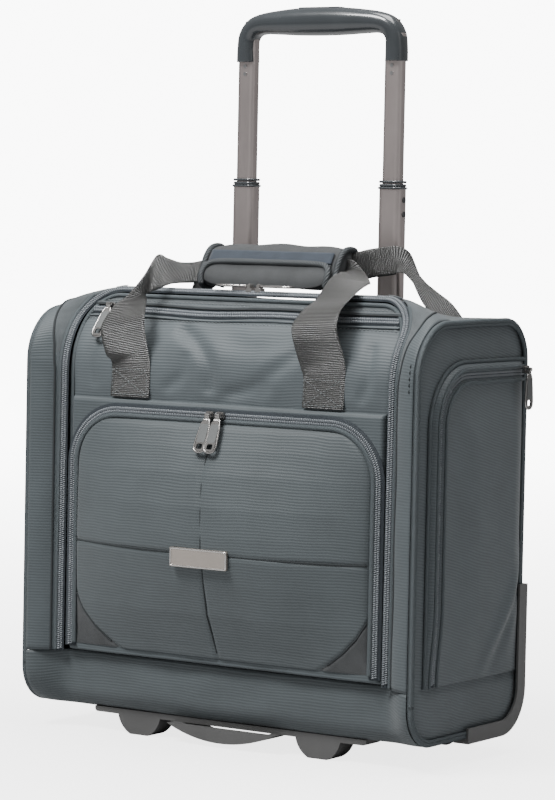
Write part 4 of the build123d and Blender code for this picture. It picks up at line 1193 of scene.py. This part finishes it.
def pull_axes(name):
    """A pull's flat direction, its length from the free end to the neck, and the direction across."""
    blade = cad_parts[name + "_pull"]
    v = node_points(name + "_pull")
    normals = np.array([q.normal for q in blade.data.polygons])
    areas = np.array([q.area for q in blade.data.polygons])
    flat = max(normals, key=lambda q: np.sum(areas[np.abs(normals @ q) > 0.999]))
    offset = v - v.mean(0)
    length = np.linalg.svd(offset - np.outer(offset @ flat, flat), full_matrices=False)[2][0]
    side = np.cross(flat, length)
    depth, along = v @ flat, v @ length
    neck = np.abs(depth - np.median(depth)) > 1.6
    if along[neck].mean() < along.mean():
        length, along = -length, -along
    across = v @ side
    origin = side * 0.5 * (across.min() + across.max()) + length * along.min() - [0, SHIFT_Y, 0]
    return origin, side, length, flat, depth


def build_pull_trim():
    """A round rim on every pull, and a dark inlay on both its faces between its neck and its window."""
    loop = np.array(PULL_HALF + [(-a, b) for a, b in PULL_HALF[-2::-1]], float)
    outline = rounded_box((-INLAY_HALF, INLAY_HALF), (INLAY_FROM, INLAY_TO), 1.4, 6, 3, 40)
    n = len(outline)
    faces = [(i, (i + 1) % n, n + (i + 1) % n, n + i) for i in range(n)] + [tuple(range(n, 2 * n))]
    for name in SLIDERS:
        origin, side, length, flat, depth = pull_axes(name)
        middle = 0.5 * (np.percentile(depth, 30) + np.percentile(depth, 70))
        ring = np.array([origin + side * a + length * b + flat * middle for a, b in curve_through(loop, 6)])
        o = tube_mesh(name + "_pull_rim", ring, 0.95, zip_metal(name), closed=True, sides=8, up=flat)
        finish_piece(o, name + "_pull", ())
        # the blade's two faces are the outermost depths that many vertices share
        levels = sorted({round(float(d), 2) for d in depth if np.sum(np.abs(depth - d) < 0.02) > 12})
        base = np.array([origin + side * a + length * b for a, b in outline])
        for k, (level, way) in enumerate(((levels[0], -1), (levels[-1], 1))):
            verts = np.vstack([base + flat * (level - 0.05 * way), base + flat * (level + INLAY_RISE * way)])
            o = make_mesh(f"{name}_inlay_{k}", verts, faces, None, ("insert",), smooth=False)
            finish_piece(o, name + "_pull", ())


# ---------------------------------------------------------------- stage
BACKDROP, AMBIENT, FLOOR_GLOW = 9.5, 0.34, 2.9
FLOOR_HALF = 12
# name, place, target, size, power
LIGHTS = (
    ("key", (-0.6, -1.5, 2.6), (0, 0, 0.25), (1.1, 0.9), 125),
    ("top", (0.2, 0.2, 2.6), (0, 0, 0.3), (1.6, 1.2), 66),
    ("side", (2.6, -0.4, 1.4), (0.1, 0, 0.25), (1.0, 1.6), 3),
)
# the photograph's viewpoint: place in design metres, turn, downward tilt and roll in degrees, and lens in mm
CAMERA_AT = (1.61999, -2.39442, 0.48514)
CAMERA_TURN, CAMERA_TILT, CAMERA_ROLL, CAMERA_LENS = 33.85, 3.5, 1.15, 144.918


def link_object(name, data):
    o = bpy.data.objects.new(name, data)
    bpy.context.scene.collection.objects.link(o)
    return o


def build_floor():
    """A pale floor that the camera sees brighten into the backdrop."""
    me = bpy.data.meshes.new("floor")
    corners = [(-1, -1), (1, -1), (1, 1), (-1, 1)]
    me.from_pydata([(FLOOR_HALF * x, FLOOR_HALF * y, 0) for x, y in corners], [], [(0, 1, 2, 3)])
    floor = link_object("floor", me)
    m, t, b = new_material("floor", 0.6, 0.0, 0.2)
    coord = node(t, "ShaderNodeTexCoord").outputs["Object"]
    pale = [(0.3, (0.44, 0.44, 0.445)), (0.7, (0.46, 0.46, 0.465))]
    t.links.new(ramp(t, noise(t, coord, 6.0, 2.0), pale), b.inputs["Base Color"])
    seen = node(t, "ShaderNodeLightPath").outputs["Is Camera Ray"]
    far = node(t, "ShaderNodeVectorMath", operation="LENGTH")
    t.links.new(coord, far.inputs[0])
    away = math_node(t, "SMOOTH_MIN", math_node(t, "MULTIPLY", far.outputs["Value"], 0.3), 1.0, 0.4)
    glow = mul_add(t, away, BACKDROP - FLOOR_GLOW, FLOOR_GLOW)
    b.inputs["Emission Color"].default_value = (1.0, 0.998, 0.995, 1)
    t.links.new(math_node(t, "MULTIPLY", seen, glow), b.inputs["Emission Strength"])
    me.materials.append(m)


def build_lights():
    world = bpy.data.worlds.new("studio")
    bpy.context.scene.world = world
    world.use_nodes = True
    t = world.node_tree
    back = t.nodes["Background"]
    back.inputs[0].default_value = (1.0, 1.0, 1.0, 1)
    seen = node(t, "ShaderNodeLightPath").outputs["Is Camera Ray"]
    t.links.new(mul_add(t, seen, BACKDROP - AMBIENT, AMBIENT), back.inputs[1])
    for name, where, target, size, power in LIGHTS:
        data = bpy.data.lights.new(name, "AREA")
        data.shape = "RECTANGLE"
        data.size, data.size_y = size
        data.energy = power
        o = link_object(name, data)
        o.location = where
        o.rotation_euler = (Vector(target) - o.location).to_track_quat("-Z", "Y").to_euler()


def build_camera():
    cam = bpy.data.cameras.new("camera")
    cam.sensor_width = 36.0
    cam.lens = CAMERA_LENS
    o = link_object("camera", cam)
    a, e, r = (math.radians(v) for v in (CAMERA_TURN, CAMERA_TILT, CAMERA_ROLL))
    forward = Vector((-math.sin(a) * math.cos(e), math.cos(a) * math.cos(e), -math.sin(e)))
    right = Vector((math.cos(a), math.sin(a), 0))
    up = right.cross(forward)
    rolled = Matrix((right * math.cos(r) + up * math.sin(r), up * math.cos(r) - right * math.sin(r), -forward))
    place = Vector(CAMERA_AT) + Vector((0, SHIFT_Y / 1000, 0))
    o.matrix_world = Matrix.Translation(place) @ rolled.transposed().to_4x4()
    bpy.context.scene.camera = o


build_wrap()
build_gusset()
build_main_zip()
build_piping()
build_sides()
build_side_pockets()
build_lid()
build_upper_zip()
build_pocket_band()
build_pocket_face()
build_face_groove_shade()
build_face_piping()
build_straps()
build_flap(build_pad())
build_grip()
build_collars()
dress_cad()
build_plate_rim()
build_pull_trim()
build_floor()
build_lights()
build_camera()
